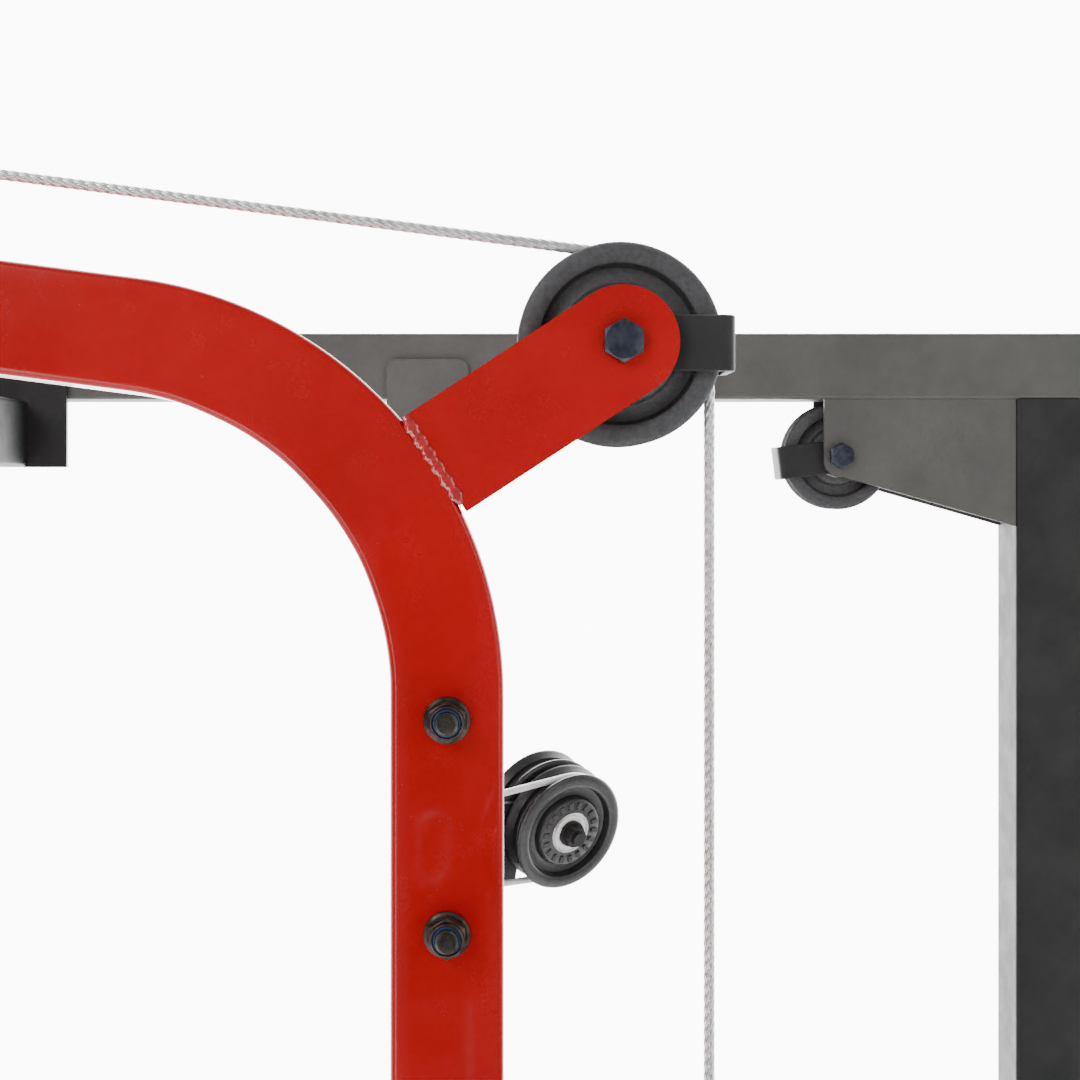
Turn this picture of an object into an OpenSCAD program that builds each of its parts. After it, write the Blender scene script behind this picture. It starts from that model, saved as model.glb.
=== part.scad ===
// Power cage with a centre lat-pulldown tower, side cable pulleys, safety bars and bar hooks.
// +X is the right side, -Y the side the user walks in from, +Z up. The origin is on the floor, mid-footprint.

/* [Frame] */
// Side of the square steel tube of every frame member
tube = 50; // [48:1:52]
// Wall thickness of the frame tubes
wall = 2; // [1.5:0.5:3]
// Outside corner radius of the frame tubes
corner_r = 3; // [2.5:0.5:4]
// Distance from the centre plane to the middle of each side frame
half_w = 570; // [560:5:600]
// Full length of the base rails
base_len = 1600; // [1580:10:1700]
// Underside of the top rails
rail_z = 2025; // [2020:1:2040]
// Thickness of the rubber feet
foot_h = 6; // [4:1:10]

/* [Tower] */
// Distance of the tower's upright behind the middle of the footprint
tower_y = 250; // [240:5:260]
// Centreline radius of the tower's bend
bend_r = 160; // [150:5:170]
// Angle of the bend
bend_a = 82.64; // [80:0.01:84]
// Height of the bend's centre
bend_z = 1866; // [1860:1:1870]
// Straight length of the arm past the bend
arm_len = 364; // [340:2:380]
// Distance between the two bolts through the tower
bolt_gap = 94; // [90:1:100]

/* [Pulleys] */
// Outside radius of the large cable pulleys
sheave_r = 46; // [44:0.5:48]
// Width of a cable pulley
sheave_w = 22; // [20:1:24]
// Cable diameter
cable_d = 5; // [4:0.5:6]
// Radius from a pulley's axle to the middle of its cable
pitch_r = 41; // [40:0.5:42]
// Distance from the bend's centre to the rear pulley's axle
bracket_reach = 283.6; // [280:0.1:290]
// Tilt of the rear pulley bracket above level
bracket_a = 33.2; // [30:0.1:36]

/* [Carriage] */
// Distance between the two guide rods
rod_gap = 190; // [180:2:200]
// Guide rod diameter
rod_d = 25; // [24:1:26]
// Height of the plate horns when the carriage is down
horn_z = 300; // [290:5:320]
// Length of each plate horn
horn_len = 300; // [250:10:320]

/* [Swivel pulleys] */
// Height of the inner swivel pulley's axle
swivel_z = 1707; // [1700:1:1712]
// Angle of the parked swivel pulleys from straight back
swivel_a = 33; // [25:1:40]
// Lean of the swivel pulleys' common axle
swivel_tilt = 16; // [10:1:20]
// Distance from the swivel's pivot to the common axle
swivel_reach = 74; // [72:1:78]

/* [Hidden] */
$fn = 48;

half_t = tube / 2;
base_top = foot_h + tube;
front_y = -base_len / 2 + 60;
mid_y = tower_y - 22;
rear_y = base_len / 2 - 100;
rail_front = front_y - half_t;
rail_back = rear_y + half_t;
in_x = half_w - half_t;
plate = 5;

// M10 hardware
m10_r = 5;
m10_hole_r = 5.25;
hex_r = 9.8;
head_h = 6.4;
nut_h = 9;
washer_r = 10;
washer_h = 2;

// Splice plates
splice_w = 110;
splice_t = 4;
splice_over = 30;
splice_bolts = [35, 65];

// Adjustment holes
hole_r = 8.25;
hole_first = 300;
hole_pitch = 100;
hole_count = 16;

// Crossmembers
flange_len = 110;
flange_bolt = 40;
tall_bolt = 35;
cross_z = 1450;
rear_cross_z = 1400;
arm_cross_y = tower_y - 350;
arm_cross_top = bend_z + bend_r * sin(bend_a) + (350 + bend_r * (cos(bend_a) - 1)) * cos(bend_a) / sin(bend_a)
    - half_t * (1 + cos(bend_a)) / sin(bend_a) - 0.2;

// Tower and its pulleys, as [y, z] pairs in the centre plane
bend_c = [tower_y - bend_r, bend_z];
tower_foot = base_top + 6;
bend_end = bend_c + bend_r * [cos(bend_a), sin(bend_a)];
arm_dir = [-sin(bend_a), cos(bend_a)];
arm_up = [cos(bend_a), sin(bend_a)];
rear_axle = bend_c + bracket_reach * [cos(bracket_a), sin(bracket_a)];
axle_lift = (rear_axle - bend_c) * arm_up;
front_run = 424;
front_axle = bend_c + axle_lift * arm_up + front_run * arm_dir;
bolt_z = bend_z - 11;
web = 5;
leg_gap = tube / 2 - web;
tower_wall = 3;
bend_seam = 0.02;
bead_w = 5;
bead_h = 1.2;

// Pulley stack across the axle
bush_r = 8;
bush_half = 14;
strap_t = 3;
strap_w = 25;
strap_reach = 51;
spacer_r = 11;
side_r = 41;
side_axle = [tower_y + 292, rail_z - 43];
side_leg = 19;
side_leg_t = 4;

// Carriage and guide rods
rod_y = rear_axle[0] + pitch_r;
rod_top = 1636;
rod_bar = 40;
sleeve_r = 19;
sleeve_half = 80;
bush_gap = 0.05;
rod_bush_r = rod_d / 2 + 1.5;
stop_top = horn_z - sleeve_half - 40;
eye_z = horn_z + 70;
ferrule_top = eye_z + 50;
horn_r = 24;
horn_in = rod_gap / 2 + sleeve_r + 2;

// Lat bar
lat_y = front_axle[0] - pitch_r;
lat_z = 1840;
lat_r = 14;
lat_mid = 340;
lat_end = 160;
lat_drop = 20;
link_z = lat_z + 64;
lat_ferrule_top = link_z + 60;

// Swivel stations
pivot_x = in_x - 42;
pivot_y = tower_y + 10;
pivot_r = 20;
pivot_bore = 15;
pivot_half = 40;
pivot_z = swivel_z - 55;
wheel_off = 14;
swivel_plate = 4;
ball_r = 14;
mount_bolt = 70;

// Fitted parts
safety_z = 900;
hook_z = 1400;
pull_up_y = front_y + 120;
pull_up_bolt = 40;
peg_len = 200;
peg_r = 12.5;
peg_heights = [500, 900];

// ---- Shared shapes ----

// Square-cornered outline with round corners, centred
module rounded(w, h, r) {
    square([w - 2 * r, h], center = true);
    square([w, h - 2 * r], center = true);
    for (sx = [-1, 1], sy = [-1, 1])
        translate([sx * (w / 2 - r), sy * (h / 2 - r)]) circle(r);
}

// Section of a hollow tube
module section(w = tube, h = tube, t = wall) {
    difference() {
        rounded(w, h, corner_r);
        rounded(w - 2 * t, h - 2 * t, corner_r - t / 2);
    }
}

// A shape drawn in y and z, extruded along X about the centre plane
module side_plane() {
    rotate([90, 0, 90]) children();
}

module both_sides() {
    children();
    mirror([1, 0, 0]) children();
}

module tube_x(x1, x2, y, z, w = tube, h = tube) {
    translate([x1, y, z]) side_plane() linear_extrude(x2 - x1) section(w, h);
}

module tube_y(x, y1, y2, z) {
    translate([x, y2, z]) rotate([90, 0, 0]) linear_extrude(y2 - y1) section();
}

module tube_z(x, y, z1, z2) {
    translate([x, y, z1]) linear_extrude(z2 - z1) section();
}

module rod_x(x1, x2, y, z, r) {
    translate([x1, y, z]) rotate([0, 90, 0]) cylinder(h = x2 - x1, r = r);
}

module block(low, high) {
    translate(low) cube(high - low);
}

// Hexagonal prism along X with a point upwards
module hex_x(x1, x2, y, z, r = hex_r) {
    translate([x1, y, z]) rotate([0, 90, 0]) cylinder(h = x2 - x1, r = r, $fn = 6);
}

// Hex bolt along X; head_dir is the side that the head is on, washer is the thickness of what is under it
module bolt_x(x1, x2, y, z, head_dir = 1, washer = washer_h) {
    head_x = head_dir > 0 ? x2 : x1;
    out = head_dir * washer;
    rod_x(x1 - (head_dir > 0 ? nut_h + 4 : 0), x2 + (head_dir > 0 ? 0 : nut_h + 4), y, z, m10_r);
    if (washer > 0) rod_x(min(head_x, head_x + out), max(head_x, head_x + out), y, z, washer_r);
    hex_x(min(head_x + out, head_x + out + head_dir * head_h),
          max(head_x + out, head_x + out + head_dir * head_h), y, z);
}

module nut_x(x, y, z, dir) {
    end = x + dir * nut_h;
    difference() {
        hex_x(min(x, end), max(x, end), y, z);
        rod_x(min(x, end) - 1, max(x, end) + 1, y, z, m10_r + 0.1);
    }
}

// Grooved cable pulley about the Z axis, its profile drawn as [radius, height] points
module sheave(r = sheave_r, half = sheave_w / 2, bore = bush_r + bush_gap) {
    root = r - sheave_r + pitch_r;
    groove = cable_d / 2 + 0.5;
    difference() {
        rotate_extrude() polygon([
            [bore, -half], [r - 20, -half], [r - 19, -half + 1], [r - 18, -4.5], [r - 11, -4.5],
            [r - 9.5, -half + 2],
            for (a = [-150:15:-60]) [r - 5 + 5 * cos(a) * 0.9, -half + 3 + 3.4 * sin(a)],
            [r, -half + 1.6], [r, -half + 3],
            [r, half - 3], [r, half - 1.6],
            for (a = [60:15:150]) [r - 5 + 5 * cos(a) * 0.9, half - 3 + 3.4 * sin(a)],
            [r - 9.5, half - 2], [r - 11, 4.5], [r - 18, 4.5], [r - 19, half - 1], [r - 20, half],
            [bore, half]]);
        rotate_extrude() {
            translate([root, 0]) circle(groove);
            polygon([[root, -groove], [r + 2, -half + 1.5], [r + 2, half - 1.5], [root, groove]]);
        }
    }
}

module sheave_x(y, z, r = sheave_r) {
    translate([0, y, z]) rotate([0, 90, 0]) sheave(r);
}

// U-shaped strap that keeps a cable on its pulley: legs on the axle, web past the rim
module strap(y, z, a, reach, legs) {
    translate([0, y, z]) rotate([a, 0, 0]) difference() {
        union() {
            for (s = [-1, 1]) {
                x0 = s > 0 ? legs : -legs - strap_t;
                block([x0, 0, -strap_w / 2], [x0 + strap_t, reach, strap_w / 2]);
                rod_x(x0, x0 + strap_t, 0, 0, strap_w / 2);
            }
            block([-legs, reach - strap_t, -strap_w / 2], [legs, reach, strap_w / 2]);
        }
        rod_x(-legs - strap_t - 1, legs + strap_t + 1, 0, 0, m10_hole_r);
    }
}

// Straight cable between two points
module cable_line(p, q) {
    d = q - p;
    len = norm(d);
    translate(p) rotate([0, acos(d[2] / len), atan2(d[1], d[0])]) cylinder(h = len, d = cable_d);
}

// Cable bent round a pulley in the plane of x = 0, from angle a by sweep w
module cable_bend(axle, a, w) {
    translate([0, axle[0], axle[1]]) side_plane() rotate([0, 0, a])
        rotate_extrude(angle = w) translate([pitch_r, 0]) circle(cable_d / 2);
}

// ---- Base and frame ----

module rubber_feet() {
    color([0.05, 0.05, 0.05]) {
        both_sides() for (y = [front_y, 0, rear_y])
            block([half_w - 30, y - 40, 0], [half_w + 30, y + 40, foot_h]);
        block([-40, rod_y - 25, 0], [40, rod_y + 25, foot_h]);
    }
}

module base_rails() {
    color([0.13, 0.13, 0.13]) both_sides() difference() {
        tube_y(half_w, -base_len / 2, base_len / 2, foot_h + half_t);
        for (y = [tower_y, rear_y], s = [-1, 1])
            rod_x(in_x - 5, in_x + tube + 5, y + s * flange_bolt, foot_h + half_t, m10_hole_r);
    }
}

module end_flanges(y, z, x_out = in_x) {
    for (s = [-1, 1]) {
        x0 = s > 0 ? x_out - plate : -x_out;
        difference() {
            block([x0, y - flange_len / 2, z - half_t], [x0 + plate, y + flange_len / 2, z + half_t]);
            for (t = [-1, 1]) rod_x(x0 - 1, x0 + plate + 1, y + t * flange_bolt, z, m10_hole_r);
        }
    }
}

module base_crossmembers() {
    zc = foot_h + half_t;
    color([0.13, 0.13, 0.13]) for (y = [tower_y, rear_y]) {
        difference() {
            tube_x(-in_x + plate, in_x - plate, y, zc);
            if (y == tower_y) {
                for (s = [-1, 1]) {
                    translate([s * 50, y, 0]) cylinder(h = base_top + 1, r = m10_hole_r);
                    translate([s * pivot_x, pivot_y, zc]) cylinder(h = tube, r = cable_d);
                }
            }
        }
        end_flanges(y, zc);
    }
}

module upright(y, extra) {
    difference() {
        tube_z(half_w, y, base_top, rail_z);
        for (i = [0:hole_count - 1])
            rod_x(in_x - 5, in_x + tube + 5, y, hole_first + i * hole_pitch, hole_r);
        for (b = splice_bolts, z = [base_top + b, rail_z - b])
            rod_x(in_x - 5, in_x + tube + 5, y, z, m10_hole_r);
        for (z = extra) rod_x(in_x - 5, in_x + tube + 5, y, z, m10_hole_r);
    }
}

module front_uprights() {
    color([0.13, 0.13, 0.13]) both_sides() upright(front_y, []);
}

module mid_uprights() {
    color([0.13, 0.13, 0.13]) both_sides()
        upright(mid_y, [cross_z - tall_bolt, cross_z + tall_bolt, pivot_z - mount_bolt, pivot_z + mount_bolt]);
}

module rear_columns() {
    color([0.13, 0.13, 0.13]) both_sides() difference() {
        tube_z(half_w, rear_y, base_top, rail_z);
        for (s = [-1, 1])
            rod_x(in_x - 5, in_x + tube + 5, rear_y, rear_cross_z + s * tall_bolt, m10_hole_r);
        for (b = splice_bolts)
            rod_x(in_x - 5, in_x + tube + 5, rear_y, base_top + b, m10_hole_r);
        for (z = peg_heights) rod_x(in_x - 5, in_x + tube + 5, rear_y, z, m10_hole_r);
    }
}

module top_rails() {
    zc = rail_z + half_t;
    color([0.17, 0.17, 0.16]) both_sides() difference() {
        tube_y(half_w, rail_front, rail_back, zc);
        for (s = [-1, 1]) {
            rod_x(in_x - 5, in_x + tube + 5, arm_cross_y + s * flange_bolt, zc, m10_hole_r);
            rod_x(in_x - 5, in_x + tube + 5, pull_up_y + s * pull_up_bolt, zc, m10_hole_r);
        }
    }
}

// Plate on a rail's face, reaching over an upright; up is 1 at the base and -1 at the top
module splice(x0, y, z, up, w, over = splice_over) {
    z_far = z - up * over;
    z_near = z + up * 80;
    difference() {
        translate([x0, y, (z_far + z_near) / 2]) side_plane()
            linear_extrude(splice_t) rounded(w, abs(z_near - z_far), 8);
        for (b = splice_bolts) rod_x(x0 - 1, x0 + splice_t + 1, y, z + up * b, m10_hole_r);
    }
}

module splice_plates() {
    color([0.15, 0.15, 0.15]) both_sides() {
        for (y = [front_y, mid_y, rear_y]) splice(in_x + tube, y, base_top, 1, tube, 13);
        for (x0 = [in_x - splice_t, in_x + tube]) {
            splice(x0, front_y, rail_z, -1, splice_w);
            splice(x0, mid_y, rail_z, -1, tube + 12);
        }
    }
}

module pull_up_bar() {
    zc = rail_z + half_t;
    color([0.10, 0.10, 0.10]) {
        rod_x(-in_x + plate, in_x - plate, pull_up_y, zc, 16);
        for (s = [-1, 1]) {
            x0 = s > 0 ? in_x - plate : -in_x;
            difference() {
                block([x0, pull_up_y - flange_len / 2, zc - 22],
                      [x0 + plate, pull_up_y + flange_len / 2, zc + 22]);
                for (t = [-1, 1])
                    rod_x(x0 - 1, x0 + plate + 1, pull_up_y + t * pull_up_bolt, zc, m10_hole_r);
            }
        }
    }
}

module arm_crossmember() {
    zc = arm_cross_top - half_t;
    rz = rail_z + half_t;
    color([0.13, 0.13, 0.13]) {
        tube_x(-in_x + plate, in_x - plate, arm_cross_y, zc);
        for (s = [-1, 1]) {
            x0 = s > 0 ? in_x - plate : -in_x;
            difference() {
                block([x0, arm_cross_y - flange_len / 2, arm_cross_top - tube],
                      [x0 + plate, arm_cross_y + flange_len / 2, rail_z + tube]);
                for (t = [-1, 1]) rod_x(x0 - 1, x0 + plate + 1, arm_cross_y + t * flange_bolt, rz, m10_hole_r);
            }
        }
    }
}

// Upright end flange, taller than it is wide
module tall_flange(x0, y, z, bolt_y) {
    difference() {
        block([x0, bolt_y - half_t, z - flange_len / 2], [x0 + plate, y + half_t, z + flange_len / 2]);
        for (t = [-1, 1]) rod_x(x0 - 1, x0 + plate + 1, bolt_y, z + t * tall_bolt, m10_hole_r);
    }
}

module rear_crossmember() {
    color([0.13, 0.13, 0.13]) {
        tube_x(-in_x + plate, in_x - plate, rear_y, rear_cross_z);
        for (x0 = [-in_x, in_x - plate]) tall_flange(x0, rear_y, rear_cross_z, rear_y);
    }
}

module tower_crossmembers() {
    color([0.13, 0.13, 0.13]) both_sides() difference() {
        union() {
            tube_x(half_t + plate, in_x - plate, tower_y, cross_z);
            tall_flange(half_t, tower_y, cross_z, tower_y);
            tall_flange(in_x - plate, tower_y, cross_z, mid_y);
        }
        translate([pivot_x, pivot_y, cross_z - tube]) cylinder(h = 2 * tube, r = cable_d);
    }
}

// ---- Tower ----

module tower() {
    color([0.80, 0.0, 0.03]) {
        difference() {
            union() {
                translate([0, tower_y, tower_foot]) linear_extrude(bend_z - tower_foot)
                    section(tube, tube, tower_wall);
                translate([0, bend_c[0], bend_c[1]]) side_plane() rotate([0, 0, bend_seam])
                    rotate_extrude(angle = bend_a - 2 * bend_seam) translate([bend_r, 0])
                        section(tube, tube, tower_wall);
                translate([0, bend_end[0], bend_end[1]]) side_plane()
                    rotate([0, 0, bend_a]) rotate([-90, 0, 0])
                    linear_extrude(arm_len) section(tube, tube, tower_wall);
            }
            for (z = [bolt_z, bolt_z - bolt_gap, cross_z - tall_bolt, cross_z + tall_bolt])
                rod_x(-tube, tube, tower_y, z, m10_hole_r);
        }
        difference() {
            block([-65, tower_y - half_t, base_top], [65, tower_y + half_t, tower_foot]);
            for (s = [-1, 1]) translate([s * 50, tower_y, base_top - 1]) cylinder(h = 10, r = m10_hole_r);
        }
    }
}

// Rear pulley bracket: two round-ended legs joined by a web on the outside of the bend
module pulley_bracket() {
    foot = bend_r + half_t + 0.1;
    color([0.80, 0.0, 0.03]) translate([0, bend_c[0], bend_c[1]]) side_plane() rotate([0, 0, bracket_a])
        difference() {
            union() {
                for (x0 = [-half_t, leg_gap]) translate([0, 0, x0]) linear_extrude(web) {
                    translate([foot, -half_t]) square([bracket_reach - foot, tube]);
                    translate([bracket_reach, 0]) circle(half_t);
                }
                translate([foot, -half_t, -leg_gap]) cube([web, tube, 2 * leg_gap]);
            }
            translate([bracket_reach, 0, -tube]) cylinder(h = 2 * tube, r = m10_hole_r);
        }
}

// Weld along each leg's foot
module weld_beads() {
    color([0.75, 0.0, 0.03]) translate([0, bend_c[0], bend_c[1]]) side_plane() rotate([0, 0, bracket_a])
        for (x0 = [-half_t - bead_h, half_t])
            translate([bend_r + half_t - bead_w / 2, -half_t, x0]) cube([bead_w, tube, bead_h]);
}

// Arm bracket: web over the arm's end, legs to the front pulley's axle
module arm_bracket() {
    lift = axle_lift - bend_r;
    color([0.80, 0.0, 0.03]) translate([0, bend_end[0], bend_end[1]]) side_plane() rotate([0, 0, bend_a])
        difference() {
            union() {
                for (x0 = [-half_t, leg_gap]) translate([0, 0, x0]) linear_extrude(web) {
                    polygon([[-half_t, arm_len + 0.1], [lift + half_t, arm_len + 0.1],
                    [lift + half_t, front_run],
                             [lift - half_t, front_run], [lift - half_t, front_run - 10]]);
                    translate([lift, front_run]) circle(half_t + 0.05);
                }
                translate([1 - half_t, arm_len + 1, -leg_gap]) cube([lift + tube - 2, web, 2 * leg_gap]);
            }
            translate([lift, front_run, -tube]) cylinder(h = 2 * tube, r = m10_hole_r);
        }
}

module cable_straps() {
    color([0.10, 0.10, 0.10]) {
        strap(rear_axle[0], rear_axle[1], 0, strap_reach, bush_half);
        strap(front_axle[0], front_axle[1], 140, strap_reach, bush_half);
        both_sides() translate([half_w, 0, 0])
            strap(side_axle[0], side_axle[1], 187, strap_reach - 5, bush_half);
    }
}

module pulley_bolts() {
    color([0.12, 0.13, 0.16]) {
        for (p = [rear_axle, front_axle]) bolt_x(-half_t, half_t, p[0], p[1], 1, 0);
        for (s = [-1, 1]) translate([s * half_w, 0, 0])
            bolt_x(-side_leg - side_leg_t, side_leg + side_leg_t, side_axle[0], side_axle[1], -s, 0);
    }
}

module pulley_bushes() {
    color([0.72, 0.72, 0.70]) {
        for (c = [[0, rear_axle[0], rear_axle[1]], [0, front_axle[0], front_axle[1]],
                  [half_w, side_axle[0], side_axle[1]], [-half_w, side_axle[0], side_axle[1]]])
            translate(c) difference() {
                rod_x(-bush_half, bush_half, 0, 0, bush_r);
                rod_x(-bush_half - 1, bush_half + 1, 0, 0, m10_r + 0.1);
            }
    }
}

module pulley_spacers() {
    x1 = bush_half + strap_t;
    color([0.20, 0.20, 0.20]) for (s = [-1, 1]) {
        for (c = [rear_axle, front_axle]) difference() {
            rod_x(s > 0 ? x1 : -leg_gap, s > 0 ? leg_gap : -x1, c[0], c[1], spacer_r);
            rod_x(-tube, tube, c[0], c[1], m10_r + 0.1);
        }
        for (t = [-1, 1]) translate([t * half_w, 0, 0]) difference() {
            rod_x(s > 0 ? x1 : -side_leg, s > 0 ? side_leg : -x1, side_axle[0], side_axle[1], spacer_r);
            rod_x(-tube, tube, side_axle[0], side_axle[1], m10_r + 0.1);
        }
    }
}

module sheave_rear() {
    color([0.14, 0.14, 0.14]) sheave_x(rear_axle[0], rear_axle[1]);
}

module sheave_front() {
    color([0.14, 0.14, 0.14]) sheave_x(front_axle[0], front_axle[1]);
}

// Two bolts that hold the accessory rack to the tower, with their heads on the rack's side
module tower_bolts() {
    color([0.12, 0.13, 0.16]) for (z = [bolt_z, bolt_z - bolt_gap])
        bolt_x(-half_t - 4, half_t + 4, tower_y, z, -1);
}

// Flanged lock nuts on the tower's right face
module tower_nuts() {
    color([0.12, 0.13, 0.16]) for (z = [bolt_z, bolt_z - bolt_gap]) difference() {
        union() {
            rod_x(half_t, half_t + 2, tower_y, z, 10.3);
            hex_x(half_t + 2, half_t + 9, tower_y, z, 9.2);
            rod_x(half_t + 9, half_t + 12, tower_y, z, 7.4);
        }
        rod_x(half_t - 1, half_t + 13, tower_y, z, m10_r + 0.1);
    }
}

// Plate with three hooks for bars and handles, on the tower's left face
module accessory_rack() {
    x1 = -half_t - 4;
    color([0.13, 0.13, 0.13]) {
        difference() {
            block([x1, tower_y - 22, bolt_z - bolt_gap - 40], [-half_t, tower_y + 22, bolt_z + 25]);
            for (z = [bolt_z, bolt_z - bolt_gap]) rod_x(x1 - 1, -half_t + 1, tower_y, z, m10_hole_r);
        }
        for (z = [bolt_z - 25, bolt_z - bolt_gap / 2 - 10, bolt_z - bolt_gap - 28]) {
            rod_x(x1 - 45, x1, tower_y, z, 4);
            translate([x1 - 45, tower_y, z]) sphere(4);
            translate([x1 - 45, tower_y, z]) cylinder(h = 14, r = 4);
        }
    }
}

// ---- Weight carriage ----

module guide_rods() {
    color([0.82, 0.83, 0.84]) for (s = [-1, 1])
        translate([s * rod_gap / 2, rod_y, foot_h + wall]) cylinder(h = rod_top - foot_h - wall, d = rod_d);
}

module rod_bracket() {
    zc = rod_top - rod_bar / 2 + 4;
    color([0.13, 0.13, 0.13]) difference() {
        union() {
            tube_x(-rod_gap / 2 - 30, rod_gap / 2 + 30, rod_y, zc, rod_bar, rod_bar);
            block([-20, tower_y + half_t + plate, zc - 20], [20, rod_y - rod_bar / 2, zc + 20]);
            block([-half_t, tower_y + half_t, zc - 45], [half_t, tower_y + half_t + plate, zc + 20]);
        }
        for (s = [-1, 1]) translate([s * rod_gap / 2, rod_y, zc - tube])
            cylinder(h = tube + rod_bar / 2 - 4, d = rod_d + 0.1);
        translate([0, rod_y, zc - tube]) cylinder(h = 2 * tube, r = 8);
    }
}

module rod_base() {
    zc = foot_h + half_t;
    color([0.13, 0.13, 0.13]) difference() {
        union() {
            tube_x(-rod_gap / 2 - 40, rod_gap / 2 + 40, rod_y, zc);
            block([-20, tower_y + half_t, zc - 20], [20, rod_y - half_t, zc + 20]);
            for (s = [-1, 1]) translate([s * rod_gap / 2, rod_y, base_top])
                cylinder(h = stop_top - base_top, r = 20);
        }
        for (s = [-1, 1]) translate([s * rod_gap / 2, rod_y, foot_h + wall])
            cylinder(h = stop_top, d = rod_d + 0.1);
    }
}

module buffers() {
    color([0.04, 0.04, 0.04]) for (s = [-1, 1]) translate([s * rod_gap / 2, rod_y, stop_top]) difference() {
        cylinder(h = 39.5, r = 22);
        translate([0, 0, -1]) cylinder(h = 42, d = rod_d + 1);
    }
}

module carriage_frame() {
    color([0.80, 0.0, 0.03]) difference() {
        union() {
            for (s = [-1, 1]) {
                translate([s * rod_gap / 2, rod_y, horn_z - sleeve_half])
                    cylinder(h = 2 * sleeve_half, r = sleeve_r);
                rod_x(s > 0 ? rod_gap / 2 : -horn_in, s > 0 ? horn_in : -rod_gap / 2, rod_y, horn_z, 17);
            }
            block([-rod_gap / 2, rod_y - 15, horn_z - 40], [rod_gap / 2, rod_y + 15, horn_z + 40]);
        }
        for (s = [-1, 1]) translate([s * rod_gap / 2, rod_y, horn_z - sleeve_half - 1])
            cylinder(h = 2 * sleeve_half + 2, r = rod_bush_r);
    }
}

module carriage_bushes() {
    color([0.90, 0.90, 0.86]) for (s = [-1, 1], z = [horn_z - sleeve_half, horn_z + sleeve_half - 40])
        translate([s * rod_gap / 2, rod_y, z]) difference() {
            cylinder(h = 40, r = rod_bush_r);
            translate([0, 0, -1]) cylinder(h = 42, r = rod_d / 2 + bush_gap);
        }
}

module plate_horns() {
    color([0.82, 0.83, 0.84]) both_sides() {
        rod_x(horn_in, horn_in + 8, rod_y, horn_z, 45);
        difference() {
            rod_x(horn_in + 8, horn_in + horn_len, rod_y, horn_z, horn_r);
            rod_x(horn_in + 10, horn_in + horn_len + 1, rod_y, horn_z, horn_r - 3);
        }
    }
}

// Eye on the carriage with the cable's crimped end
module cable_eye() {
    color([0.60, 0.60, 0.60]) translate([0, rod_y, 0]) {
        translate([0, 0, horn_z + 40]) cylinder(h = eye_z - 12 - horn_z - 40, r = 6);
        translate([0, 0, eye_z]) rotate([90, 0, 90]) rotate_extrude() translate([14, 0]) circle(4);
        translate([0, 0, eye_z + 12]) cylinder(h = ferrule_top - eye_z - 12, r = 6);
    }
}

// ---- Centre cable and lat bar ----

module cable_rear() {
    color([0.75, 0.75, 0.75]) cable_line([0, rod_y, ferrule_top], [0, rod_y, rear_axle[1]]);
}

module cable_top() {
    cable_seam = 0.07;
    color([0.75, 0.75, 0.75]) {
        cable_bend(rear_axle, 0, bend_a - cable_seam);
        cable_line([0, rear_axle[0] + pitch_r * arm_up[0], rear_axle[1] + pitch_r * arm_up[1]],
                   [0, front_axle[0] + pitch_r * arm_up[0], front_axle[1] + pitch_r * arm_up[1]]);
        cable_bend(front_axle, bend_a + cable_seam, 180 - bend_a - 2 * cable_seam);
    }
}

module cable_front() {
    color([0.75, 0.75, 0.75]) cable_line([0, lat_y, lat_ferrule_top], [0, lat_y, front_axle[1]]);
}

// Oval link standing in the plane of X and Z
module link(thick = 8) {
    rotate([90, 0, 0]) translate([0, 0, -thick / 2]) linear_extrude(thick) difference() {
        union() {
            square([30, 30], center = true);
            for (s = [-1, 1]) translate([0, s * 15]) circle(15);
        }
        square([16, 30], center = true);
        for (s = [-1, 1]) translate([0, s * 15]) circle(8);
    }
}

module snap_link() {
    color([0.70, 0.70, 0.70]) translate([0, lat_y, 0]) {
        translate([0, 0, link_z + 20]) cylinder(h = lat_ferrule_top - link_z - 20, r = 6);
        translate([0, 0, link_z]) link();
    }
}

// Start of the right-hand sloping end of the bar
module lat_end_place() {
    translate([lat_mid, 0, 0]) rotate([0, 90 + lat_drop, 0]) children();
}

module lat_bar() {
    color([0.82, 0.83, 0.84]) translate([0, lat_y, lat_z]) {
        rod_x(-lat_mid, lat_mid, 0, 0, lat_r);
        both_sides() {
            translate([lat_mid, 0, 0]) rotate([0, 90 + lat_drop / 2, 0])
                cylinder(h = 20, r = lat_r + 1.5, center = true);
            lat_end_place() cylinder(h = lat_end, r = lat_r);
        }
        difference() {
            block([-4, -16, 0], [4, 16, 54]);
            rod_x(-5, 5, 0, 36, 11);
        }
    }
}

module lat_grips() {
    color([0.05, 0.05, 0.05]) translate([0, lat_y, lat_z]) both_sides()
        lat_end_place() translate([0, 0, 18]) difference() {
            cylinder(h = lat_end - 12, r = lat_r + 3);
            translate([0, 0, -1]) cylinder(h = lat_end - 17, r = lat_r + 0.05);
        }
}

// ---- Side pulleys under the top rails ----

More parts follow.
